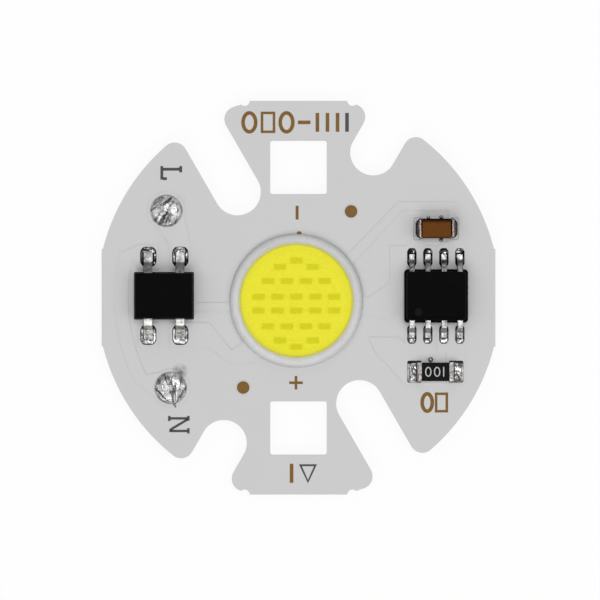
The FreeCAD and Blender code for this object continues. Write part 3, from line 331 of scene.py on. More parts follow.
def milky_silicone():
    """The dam: cloudy white, lit yellow along its inner foot, with painted shade on its outer side and to
    +Y.
    """
    gel = Finish("milky_silicone", rgb(204, 206, 206), 0.35, Subsurface_Weight=0.3,
                 Subsurface_Scale=0.0004, Specular_IOR_Level=0.35)
    haze = gel.noise(0.9, detail=3.0)
    radius = gel.distance(*SOURCE.xy / MM)
    inner = radius.falling(SOURCE_RADIUS / MM + 0.2, slope=3.2)
    # Painted shade: the dam greyer on its outer side and towards +Y.
    outer = radius.rising(DAM_OUTER / MM - 0.12, slope=7)
    upper = gel.position("Y").rising(-2.0, slope=0.2)
    cloud_and_shade = gel.mix(haze, rgb(204, 205, 205), rgb(222, 223, 222))
    cloud_and_shade = gel.mix(outer * (0.15 + upper * 0.7), cloud_and_shade, rgb(140, 141, 141))
    cloud_and_shade = gel.mix(upper * 0.3, cloud_and_shade, rgb(176, 177, 177))
    gel.feed("Base Color", gel.mix(inner * 0.6, cloud_and_shade, rgb(226, 224, 128)))
    gel.feed("Roughness", 0.2 + haze * 0.18)
    return gel.material


def black_mould():
    """Moulding compound: near black, finely eroded, scuffed, with a round dimple on the driver."""
    mould = Finish("black_mould", rgb(6, 6, 7), 0.6, Specular_IOR_Level=0.05)
    grain = mould.noise(0.05, detail=3.0)
    scuffs = mould.noise(1.2, detail=4.0)
    dimple = mould.distance(*DIMPLE.xy / MM).falling(DIMPLE_RIM / MM, slope=24)
    black = mould.mix((scuffs - 0.45) * 0.8 + (grain - 0.5) * 0.6, rgb(2, 2, 2), rgb(11, 11, 12))
    mould.feed("Base Color", mould.mix(dimple, black, rgb(20, 20, 21)))
    mould.feed("Roughness", 0.5 + grain * 0.2)
    mould.bump(grain, depth=0.006)
    mould.bump(1 - dimple, depth=0.08)
    return mould.material


def matt_tin():
    """Plating on leads, with painted shade on the necks of the rows on the +Y side."""
    tin = Finish("matt_tin", rgb(196, 196, 194), 0.3, 1.0)
    patches = tin.noise(0.3, detail=2.0)
    tone = tin.mix((patches - 0.3) * 2.4, rgb(134, 133, 132), rgb(214, 214, 212))
    # Painted shade on the necks of the +Y rows, above the neck level.
    neck_level = FOIL_TOP / MM + 0.28
    neck_shade = tin.position("Z").rising(neck_level, slope=8) * tin.position("Y").rising(0, slope=2)
    tin.feed("Base Color", tin.mix(neck_shade * 0.75, tone, rgb(62, 62, 62)))
    tin.feed("Roughness", 0.2 + patches * 0.2)
    tin.bump(patches, depth=0.02)
    return tin.material


def chip_plating(name, node, light, dark_end):
    """Fired metal on the ends of a chip: speckled on top, with painted shade down its edges and at its far
    ends.
    """
    low, high = limits(node)
    metal = Finish(name, light, 0.4, 1.0)
    patches = metal.noise(0.13, detail=3.0)
    face = metal.mix((patches - 0.36) * 3.4, rgb(112, 104, 99), light)
    # Painted shade down the sides and towards the far ends.
    outward = abs(metal.position("X") - (low.x + high.x) / 2 / MM)
    far_end_shade = outward.rising((high.x - low.x) / 2 / MM - dark_end, slope=6)
    edge = metal.position("Z").falling(high.z / MM - 0.02, slope=40)
    metal.feed("Base Color", metal.mix((edge + far_end_shade * 0.9).kept_in(), face, rgb(30, 26, 24)))
    metal.feed("Roughness", 0.3 + patches * 0.25)
    metal.bump(patches, depth=0.015)
    return metal.material


def streaked_solder(name, x, y):
    """Solder pulled by an iron: ridges and folds fan out from x, y, where the iron left it, with painted
    shade in the streaks and folds and a painted highlight round its foot.
    """
    solder = Finish(name, rgb(205, 205, 206), 0.24, 1.0)
    folds = solder.noise(0.9, detail=2.0)
    specks = solder.noise(0.12, detail=2.0)
    east = solder.position("X") - x
    north = solder.position("Y") - y
    turn = east.math("ARCTAN2", north, east)
    fan = combined(solder.tree, turn * 8.0 + folds * 1.4, solder.distance(x, y) * 0.4, 0.0)
    streaks = add(solder.tree, "ShaderNodeTexNoise", None,
                  {"Vector": fan, "Scale": 1.0, "Detail": 4.0, "Roughness": 0.6})
    above_foil = solder.position("Z") - FOIL_TOP / MM
    foot = (1 - above_foil / 0.3).kept_in()
    # Painted shade in the streaks and folds, less of it near the foot.
    dark = (streaks.falling(0.49, slope=11) + folds.falling(0.47, slope=9) * 0.7).kept_in()
    dark = dark * (1 - foot * 0.75)
    bright = solder.mix((specks - 0.3) * 2.4, rgb(150, 150, 152), rgb(244, 244, 243))
    # Painted highlight round the foot of the dome.
    bright = solder.mix(foot * 0.8, bright, rgb(250, 250, 250))
    solder.feed("Base Color", solder.mix(dark * 0.9, bright, rgb(34, 33, 32)))
    solder.feed("Roughness", 0.22 + specks * 0.2)
    solder.bump(streaks, depth=0.08)
    return solder.material


def joint_solder(name, node, package=None):
    """Reflowed solder: bright, with painted shade where it runs out, round each foot and on the rows to +Y,
    or along a chip's +Y side.
    """
    solder = Finish(name, rgb(205, 206, 207), 0.16, 1.0)
    patches = solder.noise(0.5, detail=2.0)
    specks = solder.noise(0.14, detail=2.0)
    tone = solder.mix((patches - 0.4) * 4 + (specks - 0.5) * 1.2, rgb(112, 112, 112), rgb(250, 250, 249))
    centre = middle_of(node) / MM
    east = solder.position("X") - centre.x
    north = solder.position("Y") - centre.y
    above_foil = solder.position("Z") - FOIL_TOP / MM
    # Painted shade where the solder runs out low to the foil.
    dark = (1 - (above_foil - 0.03) / 0.1).kept_in() * 0.92
    if package:
        half_pitch = package.pitch / 2 / MM
        offset = east.math("PINGPONG", abs(east), half_pitch)
        beside = abs(half_pitch - offset) - package.lead_width / 2 / MM
        gap = beside.at_least(abs(north) - TOE_REACH / MM)
        # Painted shade: a dark line round each lead's foot, and darker rows to +Y.
        seam = (1 - abs(gap - 0.05) / 0.11).kept_in()
        shade = north.rising(0, slope=2) * ((0.7 - patches) * 3.5 + (0.5 - specks) * 3).kept_in()
        dark = (dark + seam * 0.95 + shade * 0.85).kept_in()
    else:
        # Painted shade along the chip's +Y side.
        far_side = 0.6
        dark = (dark + north.rising(far_side, slope=12) * 0.9).kept_in()
    solder.feed("Base Color", solder.mix(dark, tone, rgb(24, 23, 22)))
    solder.feed("Roughness", 0.1 + specks * 0.2)
    solder.bump(patches, depth=0.06)
    return solder.material


def bead_solder():
    """Small balls of solder, darker than the joints."""
    ball = Finish("bead_solder", rgb(128, 124, 120), 0.25, 1.0)
    specks = ball.noise(0.08, detail=2.0)
    ball.feed("Base Color", ball.mix((specks - 0.3) * 2.5, rgb(84, 80, 76), rgb(176, 172, 168)))
    ball.feed("Roughness", 0.16 + specks * 0.2)
    return ball.material


def solder_film():
    """A flat film of solder that runs out under a chip's end."""
    film = Finish("solder_film", rgb(214, 214, 214), 0.55, 0.6)
    clouds = film.noise(0.3, detail=3.0)
    film.feed("Base Color", film.mix(clouds, rgb(176, 176, 176), rgb(204, 204, 204)))
    film.feed("Roughness", 0.45 + clouds * 0.2)
    return film.material


def brown_ceramic():
    """Fired brown ceramic, with painted shade along its two long edges."""
    low, high = limits("capacitor_body")
    block = Finish("brown_ceramic", rgb(100, 59, 20), 0.6, Specular_IOR_Level=0.04)
    grain = block.noise(0.12, detail=4.0)
    north = block.position("Y")
    # Painted shade along both long edges, wider on the +Y side.
    edge_shade = north.rising(high.y / MM - 0.4, slope=3.4) + north.falling(low.y / MM + 0.16, slope=7) * 0.6
    brown = block.mix(grain, rgb(88, 50, 14), rgb(116, 72, 30))
    block.feed("Base Color", block.mix(edge_shade, brown, rgb(24, 8, 2)))
    block.bump(grain, depth=0.008)
    return block.material


def white_alumina():
    """The resistor's ceramic block."""
    block = Finish("white_alumina", rgb(228, 228, 222), 0.5)
    grain = block.noise(0.1, detail=3.0)
    block.feed("Base Color", block.mix(grain, rgb(214, 214, 206), rgb(238, 238, 234)))
    block.bump(grain, depth=0.006)
    return block.material


def black_glaze():
    """The resistor's top coat."""
    glaze = Finish("black_glaze", rgb(10, 10, 11), 0.45, Specular_IOR_Level=0.08)
    grain = glaze.noise(0.18, detail=3.0)
    glaze.feed("Base Color", glaze.mix(grain, rgb(5, 5, 6), rgb(18, 18, 20)))
    glaze.bump(grain, depth=0.01)
    return glaze.material


def white_print():
    """Worn white ink of the resistor's figures."""
    ink = Finish("white_print", rgb(206, 206, 204), 0.5)
    wear = ink.noise(0.09, detail=3.0)
    ink.feed("Base Color", ink.mix(wear, rgb(150, 150, 148), rgb(228, 228, 226)))
    return ink.material


COPPER = tarnished_copper()
DARK_MARK = bare_insulation()
MOULD = black_mould()
TIN = matt_tin()


# Making pieces

def link(name, mesh):
    piece = bpy.data.objects.new(name, mesh)
    bpy.context.collection.objects.link(piece)
    return piece


def seat(piece, *nodes, finish=None):
    """Puts a finished piece on the part, in place of the nodes it stands for."""
    if finish:
        piece.data.materials.clear()
        piece.data.materials.append(finish)
    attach(piece, "root")
    if nodes:
        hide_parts(*nodes)


def worked_piece(name, work, crease=None):
    """A working mesh as a piece, smooth but for edges sharper than the crease in degrees."""
    mesh = bpy.data.meshes.new(name)
    work.to_mesh(mesh)
    work.free()
    if crease:
        mesh.shade_smooth()
        mesh.set_sharp_from_angle(angle=math.radians(crease))
    return link(name, mesh)


def bevel(piece, width, segments, degrees):
    """Rounds the edges that turn by more than an angle."""
    modifier = piece.modifiers.new("RoundedEdges", "BEVEL")
    modifier.width = width
    modifier.segments = segments
    modifier.limit_method = "ANGLE"
    modifier.angle_limit = math.radians(degrees)
    modifier.use_clamp_overlap = False


def painted_node(node, finish):
    """The node as it is, with a finish of its own."""
    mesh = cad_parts[node].data
    mesh.materials.clear()
    mesh.materials.append(finish)


def geometry_tree(name, sizes):
    """An empty tree with named inputs. Returns the tree and its inputs as signals."""
    tree = bpy.data.node_groups.new(name, "GeometryNodeTree")
    tree.interface.new_socket("Geometry", in_out="INPUT", socket_type="NodeSocketGeometry")
    for size in sizes:
        tree.interface.new_socket(size, in_out="INPUT", socket_type="NodeSocketFloat")
    tree.interface.new_socket("Geometry", in_out="OUTPUT", socket_type="NodeSocketGeometry")
    entry = tree.nodes.new("NodeGroupInput")
    signals = {socket.name: Signal(tree, socket) for socket in entry.outputs if socket.name}
    return tree, signals


def close_tree(tree, geometry, finish, smooth=True):
    """Realises, shades and paints what the tree made, and sends it out."""
    real = add(tree, "GeometryNodeRealizeInstances", None, {0: geometry})
    shaded = add(tree, "GeometryNodeSetShadeSmooth", None, {"Geometry": real, "Shade Smooth": smooth})
    painted = add(tree, "GeometryNodeSetMaterial", None, {"Geometry": shaded, "Material": finish})
    way_out = tree.nodes.new("NodeGroupOutput")
    tree.links.new(painted.socket, way_out.inputs[0])
    return tree


def grow(name, tree, sizes, seed):
    """Runs a tree on a seed mesh and keeps the result as a plain mesh."""
    holder = link(name + "_seed", seed)
    modifier = holder.modifiers.new("Grow", "NODES")
    modifier.node_group = tree
    for item in tree.interface.items_tree:
        if item.item_type == "SOCKET" and item.in_out == "INPUT" and item.name in sizes:
            modifier[item.identifier] = float(sizes[item.name])
    result = holder.evaluated_get(bpy.context.evaluated_depsgraph_get())
    mesh = bpy.data.meshes.new_from_object(result)
    bpy.data.objects.remove(holder)
    return link(name, mesh)


def seed_mesh(name, points, edges=(), radii=None):
    """Points and edges for a tree to work on, each point with a size where radii are given."""
    mesh = bpy.data.meshes.new(name)
    mesh.from_pydata([tuple(point) for point in points], list(edges), [])
    if radii:
        mesh.attributes.new("size", "FLOAT", "POINT").data.foreach_set("value", radii)
    return mesh


def path_seed(name, paths, closed=False):
    """One mesh of edge chains, each a path."""
    points, edges = [], []
    for path in paths:
        first = len(points)
        points.extend(path)
        edges.extend((first + i, first + i + 1) for i in range(len(path) - 1))
        if closed:
            edges.append((len(points) - 1, first))
    return seed_mesh(name, points, edges)


def position_parts(tree):
    spot = add(tree, "GeometryNodeInputPosition")
    return [add(tree, "ShaderNodeSeparateXYZ", None, {0: spot}, output=i) for i in range(3)]


def moved(tree, geometry, position):
    return add(tree, "GeometryNodeSetPosition", None, {"Geometry": geometry, "Position": position})


def tree_noise(tree, scale, detail=2.0):
    return add(tree, "ShaderNodeTexNoise", None, {"Scale": scale, "Detail": detail})


# Trees

MOUND_GRID = 19  # points along each side of a mound
MOUND_SIDES = 3.0  # power by which a mound falls off to its sides
MOUND_TOP = 0.75  # power of its swell, below 1 for a full one
MOUND_CORNERS = 5  # power by which its corners draw in
DOME_SIDES = 0.86  # power of a dome's height, below 1 for a full one
DOME_TAPER = 0.04  # share by which a dome narrows to its top
BEAD_FLAT = -0.4  # underside of a bead, in shares of its radius
BEAD_RISE = 0.3
DAM_SIDES = 0.9  # power of the dam's section, below 1 for a full one


def ribbon_tree(name, finish, rounded):
    """A flat strip that follows a path. A rounded one has soft bends and edges."""
    tree, sizes = geometry_tree(name, ("Width", "Thickness", "Bend Radius", "Edge Radius"))
    path = add(tree, "GeometryNodeMeshToCurve", None, {"Mesh": sizes["Geometry"]})
    section = add(tree, "GeometryNodeCurvePrimitiveQuadrilateral", None,
                  {"Width": sizes["Width"], "Height": sizes["Thickness"]})
    if rounded:
        path = add(tree, "GeometryNodeFilletCurve", {"mode": "POLY"},
                   {"Curve": path, "Count": 5, "Radius": sizes["Bend Radius"]})
        section = add(tree, "GeometryNodeFilletCurve", {"mode": "POLY"},
                      {"Curve": section, "Count": 2, "Radius": sizes["Edge Radius"]})
    untwisted = add(tree, "GeometryNodeSetCurveNormal", {"mode": "Z_UP"}, {"Curve": path})
    strip = add(tree, "GeometryNodeCurveToMesh", None,
                {"Curve": untwisted, "Profile Curve": section, "Fill Caps": True})
    return close_tree(tree, strip, finish, smooth=False)


def mound_tree(finish):
    """Solder on pads: upright in the coat's opening, domed above, uneven on top."""
    tree, sizes = geometry_tree(
        "solder_mounds", ("Length", "Width", "Height", "Rim", "Roundness", "Unevenness"))
    block = add(tree, "GeometryNodeMeshCube", None,
                {"Size": (1, 1, 1), "Vertices X": MOUND_GRID, "Vertices Y": MOUND_GRID, "Vertices Z": 2})
    x, y, z = position_parts(tree)
    across, along = abs(x * 2), abs(y * 2)
    fall = (1 - across ** MOUND_SIDES) * (1 - along ** MOUND_SIDES)
    top = sizes["Rim"] + (sizes["Height"] - sizes["Rim"]) * fall.at_least(0) ** MOUND_TOP
    shaped = moved(tree, block, combined(
        tree,
        x * sizes["Length"] * (1 - sizes["Roundness"] * along ** MOUND_CORNERS),
        y * sizes["Width"] * (1 - sizes["Roundness"] * across ** MOUND_CORNERS),
        (z > 0) * top,
    ))
    spread = add(tree, "GeometryNodeInstanceOnPoints", None,
                 {"Points": sizes["Geometry"], "Instance": shaped})
    real = add(tree, "GeometryNodeRealizeInstances", None, {0: spread})
    x, y, z = position_parts(tree)
    height = (z - FOIL_TOP) / sizes["Height"]
    ripple = (tree_noise(tree, 1500.0) - 0.5) * sizes["Unevenness"] * height.at_least(0)
    return close_tree(tree, moved(tree, real, combined(tree, x, y, z + ripple)), finish)


def dome_tree(finish):
    """Hand-laid solder: a dome pulled out of round, with folds in its skin."""
    tree, sizes = geometry_tree("solder_dome", ("Radius", "Height", "Folds", "Lean"))
    ball = add(tree, "GeometryNodeMeshUVSphere", None, {"Segments": 96, "Rings": 60, "Radius": 1.0})
    x, y, z = position_parts(tree)
    up = z.at_least(0)
    fold = (tree_noise(tree, 2.6, 4.0) - 0.5) * sizes["Folds"] * up
    shaped = moved(tree, ball, combined(
        tree,
        x * sizes["Radius"] * (1 - DOME_TAPER * up) + up * sizes["Lean"],
        y * sizes["Radius"] * (1 - DOME_TAPER * up) - up * sizes["Lean"] * 0.6,
        (up ** DOME_SIDES) * sizes["Height"] + fold * sizes["Height"],
    ))
    spread = add(tree, "GeometryNodeInstanceOnPoints", None,
                 {"Points": sizes["Geometry"], "Instance": shaped})
    return close_tree(tree, spread, finish)


def bead_tree(finish):
    """Small balls of solder that stuck beside the joints."""
    tree, sizes = geometry_tree("solder_beads", ("Flatness",))
    ball = add(tree, "GeometryNodeMeshIcoSphere", None, {"Radius": 1.0, "Subdivisions": 4})
    x, y, z = position_parts(tree)
    settled = moved(tree, ball, combined(tree, x, y, z.at_least(BEAD_FLAT) * sizes["Flatness"] + BEAD_RISE))
    radius = add(tree, "GeometryNodeInputNamedAttribute", {"data_type": "FLOAT"}, {"Name": "size"})
    spread = add(tree, "GeometryNodeInstanceOnPoints", None, {
        "Points": sizes["Geometry"], "Instance": settled, "Scale": combined(tree, radius, radius, radius)})
    return close_tree(tree, spread, finish)


def dam_tree(finish):
    """A bead of silicone laid along a circle by a needle, a little uneven along its way."""
    tree, sizes = geometry_tree("silicone_bead", ("Ring Radius", "Half Width", "Height", "Wander"))
    way = add(tree, "GeometryNodeCurvePrimitiveCircle", {"mode": "RADIUS"},
              {"Resolution": 200, "Radius": sizes["Ring Radius"]})
    section = add(tree, "GeometryNodeCurvePrimitiveCircle", {"mode": "RADIUS"},
                  {"Resolution": 40, "Radius": sizes["Half Width"]})
    ring = add(tree, "GeometryNodeCurveToMesh", None, {"Curve": way, "Profile Curve": section})
    x, y, z = position_parts(tree)
    swell = 1 + (tree_noise(tree, 240.0) - 0.5) * sizes["Wander"]
    rise = (z.at_least(0) / sizes["Half Width"]) ** DAM_SIDES
    laid = moved(tree, ring, combined(tree, x, y, rise * sizes["Height"] * swell.at_most(1.0)))
    spread = add(tree, "GeometryNodeInstanceOnPoints", None,
                 {"Points": sizes["Geometry"], "Instance": laid})
    return close_tree(tree, spread, finish)


# The board, its foil, and what stays as it is in the frame

for node, finish in (
        ("solder_mask", white_coat()), ("aluminium_base", rolled_aluminium()),
        ("dielectric_layer", filled_epoxy()), ("led_dies", sawn_die()), ("bond_wires", gold_wire()),
        ("resistor_body", white_alumina()), ("reference_dots", COPPER)):
    painted_node(node, finish)
for island in ("live", "neutral", "positive", "ground", "return", "sense", "supply"):
    painted_node("copper_" + island, COPPER)


# The light source

def turned_piece(name, profile, centre, segments):
    """A body of revolution about an upright axis, closed at both ends of its profile."""
    work = bmesh.new()
    rings = []
    for radius, height in profile:
        if radius == 0:
            rings.append([work.verts.new(centre + Vector((0, 0, height)))])
            continue
        rings.append([
            work.verts.new(centre + Vector((
                radius * math.cos(2 * math.pi * i / segments),
                radius * math.sin(2 * math.pi * i / segments), height)))
            for i in range(segments)
        ])
    for lower, upper in zip(rings, rings[1:]):
        for i in range(segments):
            j = (i + 1) % segments
            corners = [lower[i % len(lower)], lower[j % len(lower)],
                       upper[j % len(upper)], upper[i % len(upper)]]
            work.faces.new(list(dict.fromkeys(corners)))
    bmesh.ops.recalc_face_normals(work, faces=work.faces)
    return worked_piece(name, work, crease=40)


SOURCE_FOOT = Vector((SOURCE.x, SOURCE.y, INSULATION_TOP))
DAM_HALF_WIDTH = 0.47 * MM
RING_RADIUS = DAM_OUTER - DAM_HALF_WIDTH
seat(grow("silicone_ring", dam_tree(milky_silicone()), {
    "Ring Radius": RING_RADIUS,
    "Half Width": DAM_HALF_WIDTH,
    "Height": DAM_HIGH.z - INSULATION_TOP,
    "Wander": 0.12,
}, seed_mesh("source_middle", [SOURCE_FOOT])), "silicone_dam")

FILL_BED = FOIL_TOP - INSULATION_TOP + 0.006 * MM
FILL_RIM = 0.46 * MM
FILL_CROWN = 0.05 * MM
FILL_CREEP = 0.07 * MM  # how far the gel climbs the dam
CREEP_START = 0.8  # share of the radius
FILL_STEPS = 24
fill_profile = [(0, FILL_BED), (RING_RADIUS, FILL_BED)]
for step in range(FILL_STEPS, -1, -1):
    share = step / FILL_STEPS
    creep = FILL_CREEP * max(0.0, (share - CREEP_START) / (1 - CREEP_START)) ** 2
    fill_profile.append((RING_RADIUS * share, FILL_RIM + FILL_CROWN * (1 - share ** 2) + creep))
gel = turned_piece("phosphor_gel", fill_profile, SOURCE_FOOT, segments=160)
gel.data.materials.append(phosphor_silicone())
gel.data.materials.append(settled_phosphor())
for face in gel.data.polygons:
    face.material_index = int(face.normal.z < -0.5)
seat(gel, "phosphor_fill")


# Moulded bodies

LEAD_THICKNESS = 0.2 * MM
MOULD_DRAFT = math.radians(7)
SEAM_BAND = 0.08 * MM  # upright stretch under the seam
SEAM_DROP = 0.02 * MM  # from the underside of the leads down to the seam


def round_corners(reach_x, reach_y, radii, steps=6):
    """Points round a rectangle, with a radius for each corner from the right upper one on."""
    points = []
    for quarter, (sx, sy) in enumerate(((1, 1), (-1, 1), (-1, -1), (1, -1))):
        radius = radii[quarter]
        for step in range(steps + 1):
            turn = math.radians(90 * (quarter + step / steps))
            points.append((sx * (reach_x - radius) + radius * math.cos(turn),
                           sy * (reach_y - radius) + radius * math.sin(turn)))
    return points


def prism(work, centre, levels):
    """Closes a stack of rings, given as height and points, into a solid."""
    rings = [[work.verts.new((centre.x + x, centre.y + y, height)) for x, y in points]
             for height, points in levels]
    work.faces.new(list(reversed(rings[0])))
    work.faces.new(rings[-1])
    for lower, upper in zip(rings, rings[1:]):
        for i in range(len(lower)):
            after = (i + 1) % len(lower)
            work.faces.new((lower[i], lower[after], upper[after], upper[i]))


def moulded_body(name, node, ledge, bevel_depth, corner):
    """A block in two halves that taper from the seam, the lower one a ledge wider, where leads come out."""
    low, high = limits(node)
    centre = (low + high) / 2
    half = (high - low) / 2
    draw = math.tan(MOULD_DRAFT) * half.z
    seam = centre.z - LEAD_THICKNESS / 2 - SEAM_DROP
    levels = ((low.z, draw), (seam - SEAM_BAND, 0), (seam, 0), (seam, ledge), (high.z, ledge + draw))
    work = bmesh.new()
    prism(work, centre, [
        (height, round_corners(half.x - inset, half.y - inset, (corner,) * 4)) for height, inset in levels])
    if bevel_depth:
        edge = Vector((centre.x, low.y + ledge + draw + bevel_depth, high.z))
        cut = bmesh.ops.bisect_plane(
            work, geom=work.verts[:] + work.edges[:] + work.faces[:],
            plane_co=edge, plane_no=Vector((0, -1, 1)).normalized(), clear_outer=True)
        rim = [item for item in cut["geom_cut"] if isinstance(item, bmesh.types.BMEdge)]
        bmesh.ops.contextual_create(work, geom=rim)
    bmesh.ops.recalc_face_normals(work, faces=work.faces)
    piece = worked_piece(name, work, crease=20)
    bevel(piece, 0.06 * MM, 3, 20)
    seat(piece, node, finish=MOULD)


moulded_body("rectifier_moulding", RECTIFIER.body, ledge=0.03 * MM, bevel_depth=0, corner=0.07 * MM)
moulded_body("driver_moulding", DRIVER.body, ledge=0.14 * MM, bevel_depth=0.3 * MM, corner=0.26 * MM)


# Leads, bent from flat strip

LEAD_ROOT = 0.5 * MM  # length inside the body
LEAD_FALL = 0.34 * MM  # length in which a lead comes down to its foot
LEAD_DROOP = 0.22  # fall of the shoulder for its length
LEAD_BEND = 0.12 * MM
LEAD_EDGE = 0.04 * MM


def row_places(package):
    """The x of each lead of a row, from the package's middle."""
    return [(i - (package.count - 1) / 2) * package.pitch for i in range(package.count)]


def lead_paths(package):
    """Centre lines of two rows of gull-wing leads."""
    low, high = limits(package.leads)
    body_low, body_high = limits(package.body)
    centre = (body_low + body_high) / 2
    rise = high.z - LEAD_THICKNESS / 2
    sole = low.z + LEAD_THICKNESS / 2
    wall = (body_high.y - body_low.y) / 2
    toe = high.y - centre.y
    heel = toe - package.foot
    shoulder = heel - LEAD_FALL
    droop = LEAD_DROOP * (shoulder - wall)
    line = ((wall - LEAD_ROOT, rise), (wall, rise), (shoulder, rise - droop), (heel, sole), (toe, sole))
    return [[(centre.x + x, centre.y + side * reach, level) for reach, level in line]
            for x in row_places(package) for side in (1, -1)]


strip = ribbon_tree("lead_strip", TIN, True)
for name, package in (("rectifier_strips", RECTIFIER), ("driver_strips", DRIVER)):
    seat(grow(name, strip, {
        "Width": package.lead_width, "Thickness": LEAD_THICKNESS,
        "Bend Radius": LEAD_BEND, "Edge Radius": LEAD_EDGE,
    }, path_seed(name + "_paths", lead_paths(package))), package.leads)


# Solder

JOINT_HEIGHT = 0.2 * MM
DOME_SETTLE = 0.94  # share of the node's height


def mounds(name, node, finish, middles, length, width, height, roundness, unevenness):
    """Mounds of solder of one size on the pads of a part."""
    seat(grow(name, mound_tree(finish), {
        "Length": length, "Width": width, "Height": height, "Rim": COAT_THICKNESS,
        "Roundness": roundness, "Unevenness": unevenness,
    }, seed_mesh(name + "_middles", middles)), node)


for name, package in (("rectifier_joint", RECTIFIER), ("driver_joint", DRIVER)):
    centre = middle_of(package.solder)
    reach = (PAD_NEAR + package.pad_far) / 2
    middles = [(centre.x + x, centre.y + side * reach, FOIL_TOP)
               for x in row_places(package) for side in (1, -1)]
    mounds(name + "s", package.solder, joint_solder(name, package.body, package), middles,
           package.pad_width, package.pad_far - PAD_NEAR, JOINT_HEIGHT, 0.2, 0.05 * MM)

for name, node, pad, height, finish in (
        ("capacitor_joints", "capacitor_solder", 0.66 * MM, 0.14 * MM, solder_film()),
        ("resistor_joints", "resistor_solder", 1.18 * MM, 0.4 * MM,
         joint_solder("resistor_joint", "resistor_solder"))):
    low, high = limits(node)
    middles = [(x, (low.y + high.y) / 2, FOIL_TOP) for x in (low.x + pad / 2, high.x - pad / 2)]
    mounds(name, node, finish, middles, pad, high.y - low.y, height, 0.08, 0.12 * MM)

for name, node, lean, finish in (
        ("live_dome", "live_solder_dome", 0.05 * MM, streaked_solder("live_solder", -9.2, 8.6)),
        ("neutral_dome", "neutral_solder_dome", -0.07 * MM, streaked_solder("neutral_solder", -9.8, -8.75))):
    low, high = limits(node)
    seat(grow(name, dome_tree(finish), {
        "Radius": (high.x - low.x) / 2, "Height": (high.z - low.z) * DOME_SETTLE,
        "Folds": 0.22, "Lean": lean,
    }, seed_mesh(name + "_middle", [((low.x + high.x) / 2, (low.y + high.y) / 2, low.z)])), node)

BEADS = (  # x, y and radius in millimetres, the last three at the neutral dome's tip
    (10.31, 6.36, 0.13), (11.33, 6.39, 0.16), (11.33, 4.58, 0.16), (10.49, -4.92, 0.2),
    (-9.84, -8.46, 0.13), (-9.79, -8.6, 0.08), (-9.77, -8.68, 0.05),
)
seat(grow("stray_beads", bead_tree(bead_solder()), {"Flatness": 0.8}, seed_mesh(
    "bead_places", [(x * MM, y * MM, LOW_COAT) for x, y, _ in BEADS], radii=[r * MM for _, _, r in BEADS])))


# Chips

def soft_blocks(name, node, blocks, edge, finish):
    """Blocks in one mesh, each with a radius for each corner, and worn edges."""
    work = bmesh.new()
    for low, high, radii in blocks:
        plan = round_corners((high.x - low.x) / 2, (high.y - low.y) / 2, radii)
        prism(work, (low + high) / 2, [(low.z, plan), (high.z, plan)])
    piece = worked_piece(name, work, crease=20)
    bevel(piece, edge, 4, 35)
    seat(piece, node, finish=finish)


def chip_ends(node, length, corner):
    """The two plated ends of a chip as blocks, rounded at their outer corners."""
    low, high = limits(node)
    sharp = 0.03 * MM
    return ((low, Vector((low.x + length, high.y, high.z)), (sharp, corner, corner, sharp)),
            (Vector((high.x - length, low.y, low.z)), high, (corner, sharp, sharp, corner)))


soft_blocks("capacitor_block", "capacitor_body",
            [(*limits("capacitor_body"), (0.56 * MM,) * 4)], 0.07 * MM, brown_ceramic())
soft_blocks("capacitor_caps", "capacitor_terminals",
            chip_ends("capacitor_terminals", 0.55 * MM, 0.5 * MM), 0.14 * MM,
            chip_plating("capacitor_plating", "capacitor_terminals", rgb(222, 208, 203), 0.4))
soft_blocks("resistor_caps", "resistor_terminals",
            chip_ends("resistor_terminals", 0.47 * MM, 0.04 * MM), 0.04 * MM,
            chip_plating("resistor_plating", "resistor_terminals", rgb(206, 206, 205), 0.22))
soft_blocks("resistor_glaze", "resistor_overcoat",
            [(*limits("resistor_overcoat"), (0.05 * MM,) * 4)], 0.015 * MM, black_glaze())


# Marks, where the coat leaves foil or insulation bare

MARK_DEPTH = 0.006 * MM
SHAPE_STROKE = 0.29
FIGURE_STROKE = 0.085
stroke = ribbon_tree("mark_stroke", COPPER, False)
dark_stroke = ribbon_tree("dark_mark_stroke", DARK_MARK, False)
print_stroke = ribbon_tree("print_stroke", white_print(), False)


def marks(name, tree, paths, width, closed=False, level=LOW_COAT):
    """Flat strokes along paths given in millimetres on the board."""
    chains = [[(x * MM, y * MM, level + MARK_DEPTH / 2) for x, y in path] for path in paths]
    seat(grow(name, tree, {"Width": width * MM, "Thickness": MARK_DEPTH},
              path_seed(name + "_paths", chains, closed)))


def turned(path, middle, degrees):
    """A path turned about its own zero and moved to its middle."""
    turn = math.radians(degrees)
    return [
        (middle[0] + x * math.cos(turn) - y * math.sin(turn),
         middle[1] + x * math.sin(turn) + y * math.cos(turn))
        for x, y in path
    ]


def upright(x, y, height):
    """A straight stroke along Y with its middle at x, y."""
    return [(x, y - height / 2), (x, y + height / 2)]


def oval(x, y, width, height, corners=40):
    """The corners of a closed oval."""
    turns = [2 * math.pi * i / corners for i in range(corners)]
    return [(x + width / 2 * math.cos(turn), y + height / 2 * math.sin(turn)) for turn in turns]


def oblong(x, y, width, height):
    """The corners of a closed rectangle."""
    return [(x + width / 2 * i, y + height / 2 * j) for i, j in ((-1, -1), (1, -1), (1, 1), (-1, 1))]


def cross(x, y, reach, width):
    """A plus sign in three strokes that meet without lying on each other."""
    return [[(x - reach, y), (x + reach, y)], [(x, y - reach), (x, y - width / 2)],
            [(x, y + width / 2), (x, y + reach)]]


marks("minus_mark", stroke, [upright(-0.11, 6.75, 1.1)], 0.24)
marks("plus_mark", stroke, cross(-0.2, -6.75, 0.54, 0.21), 0.21)

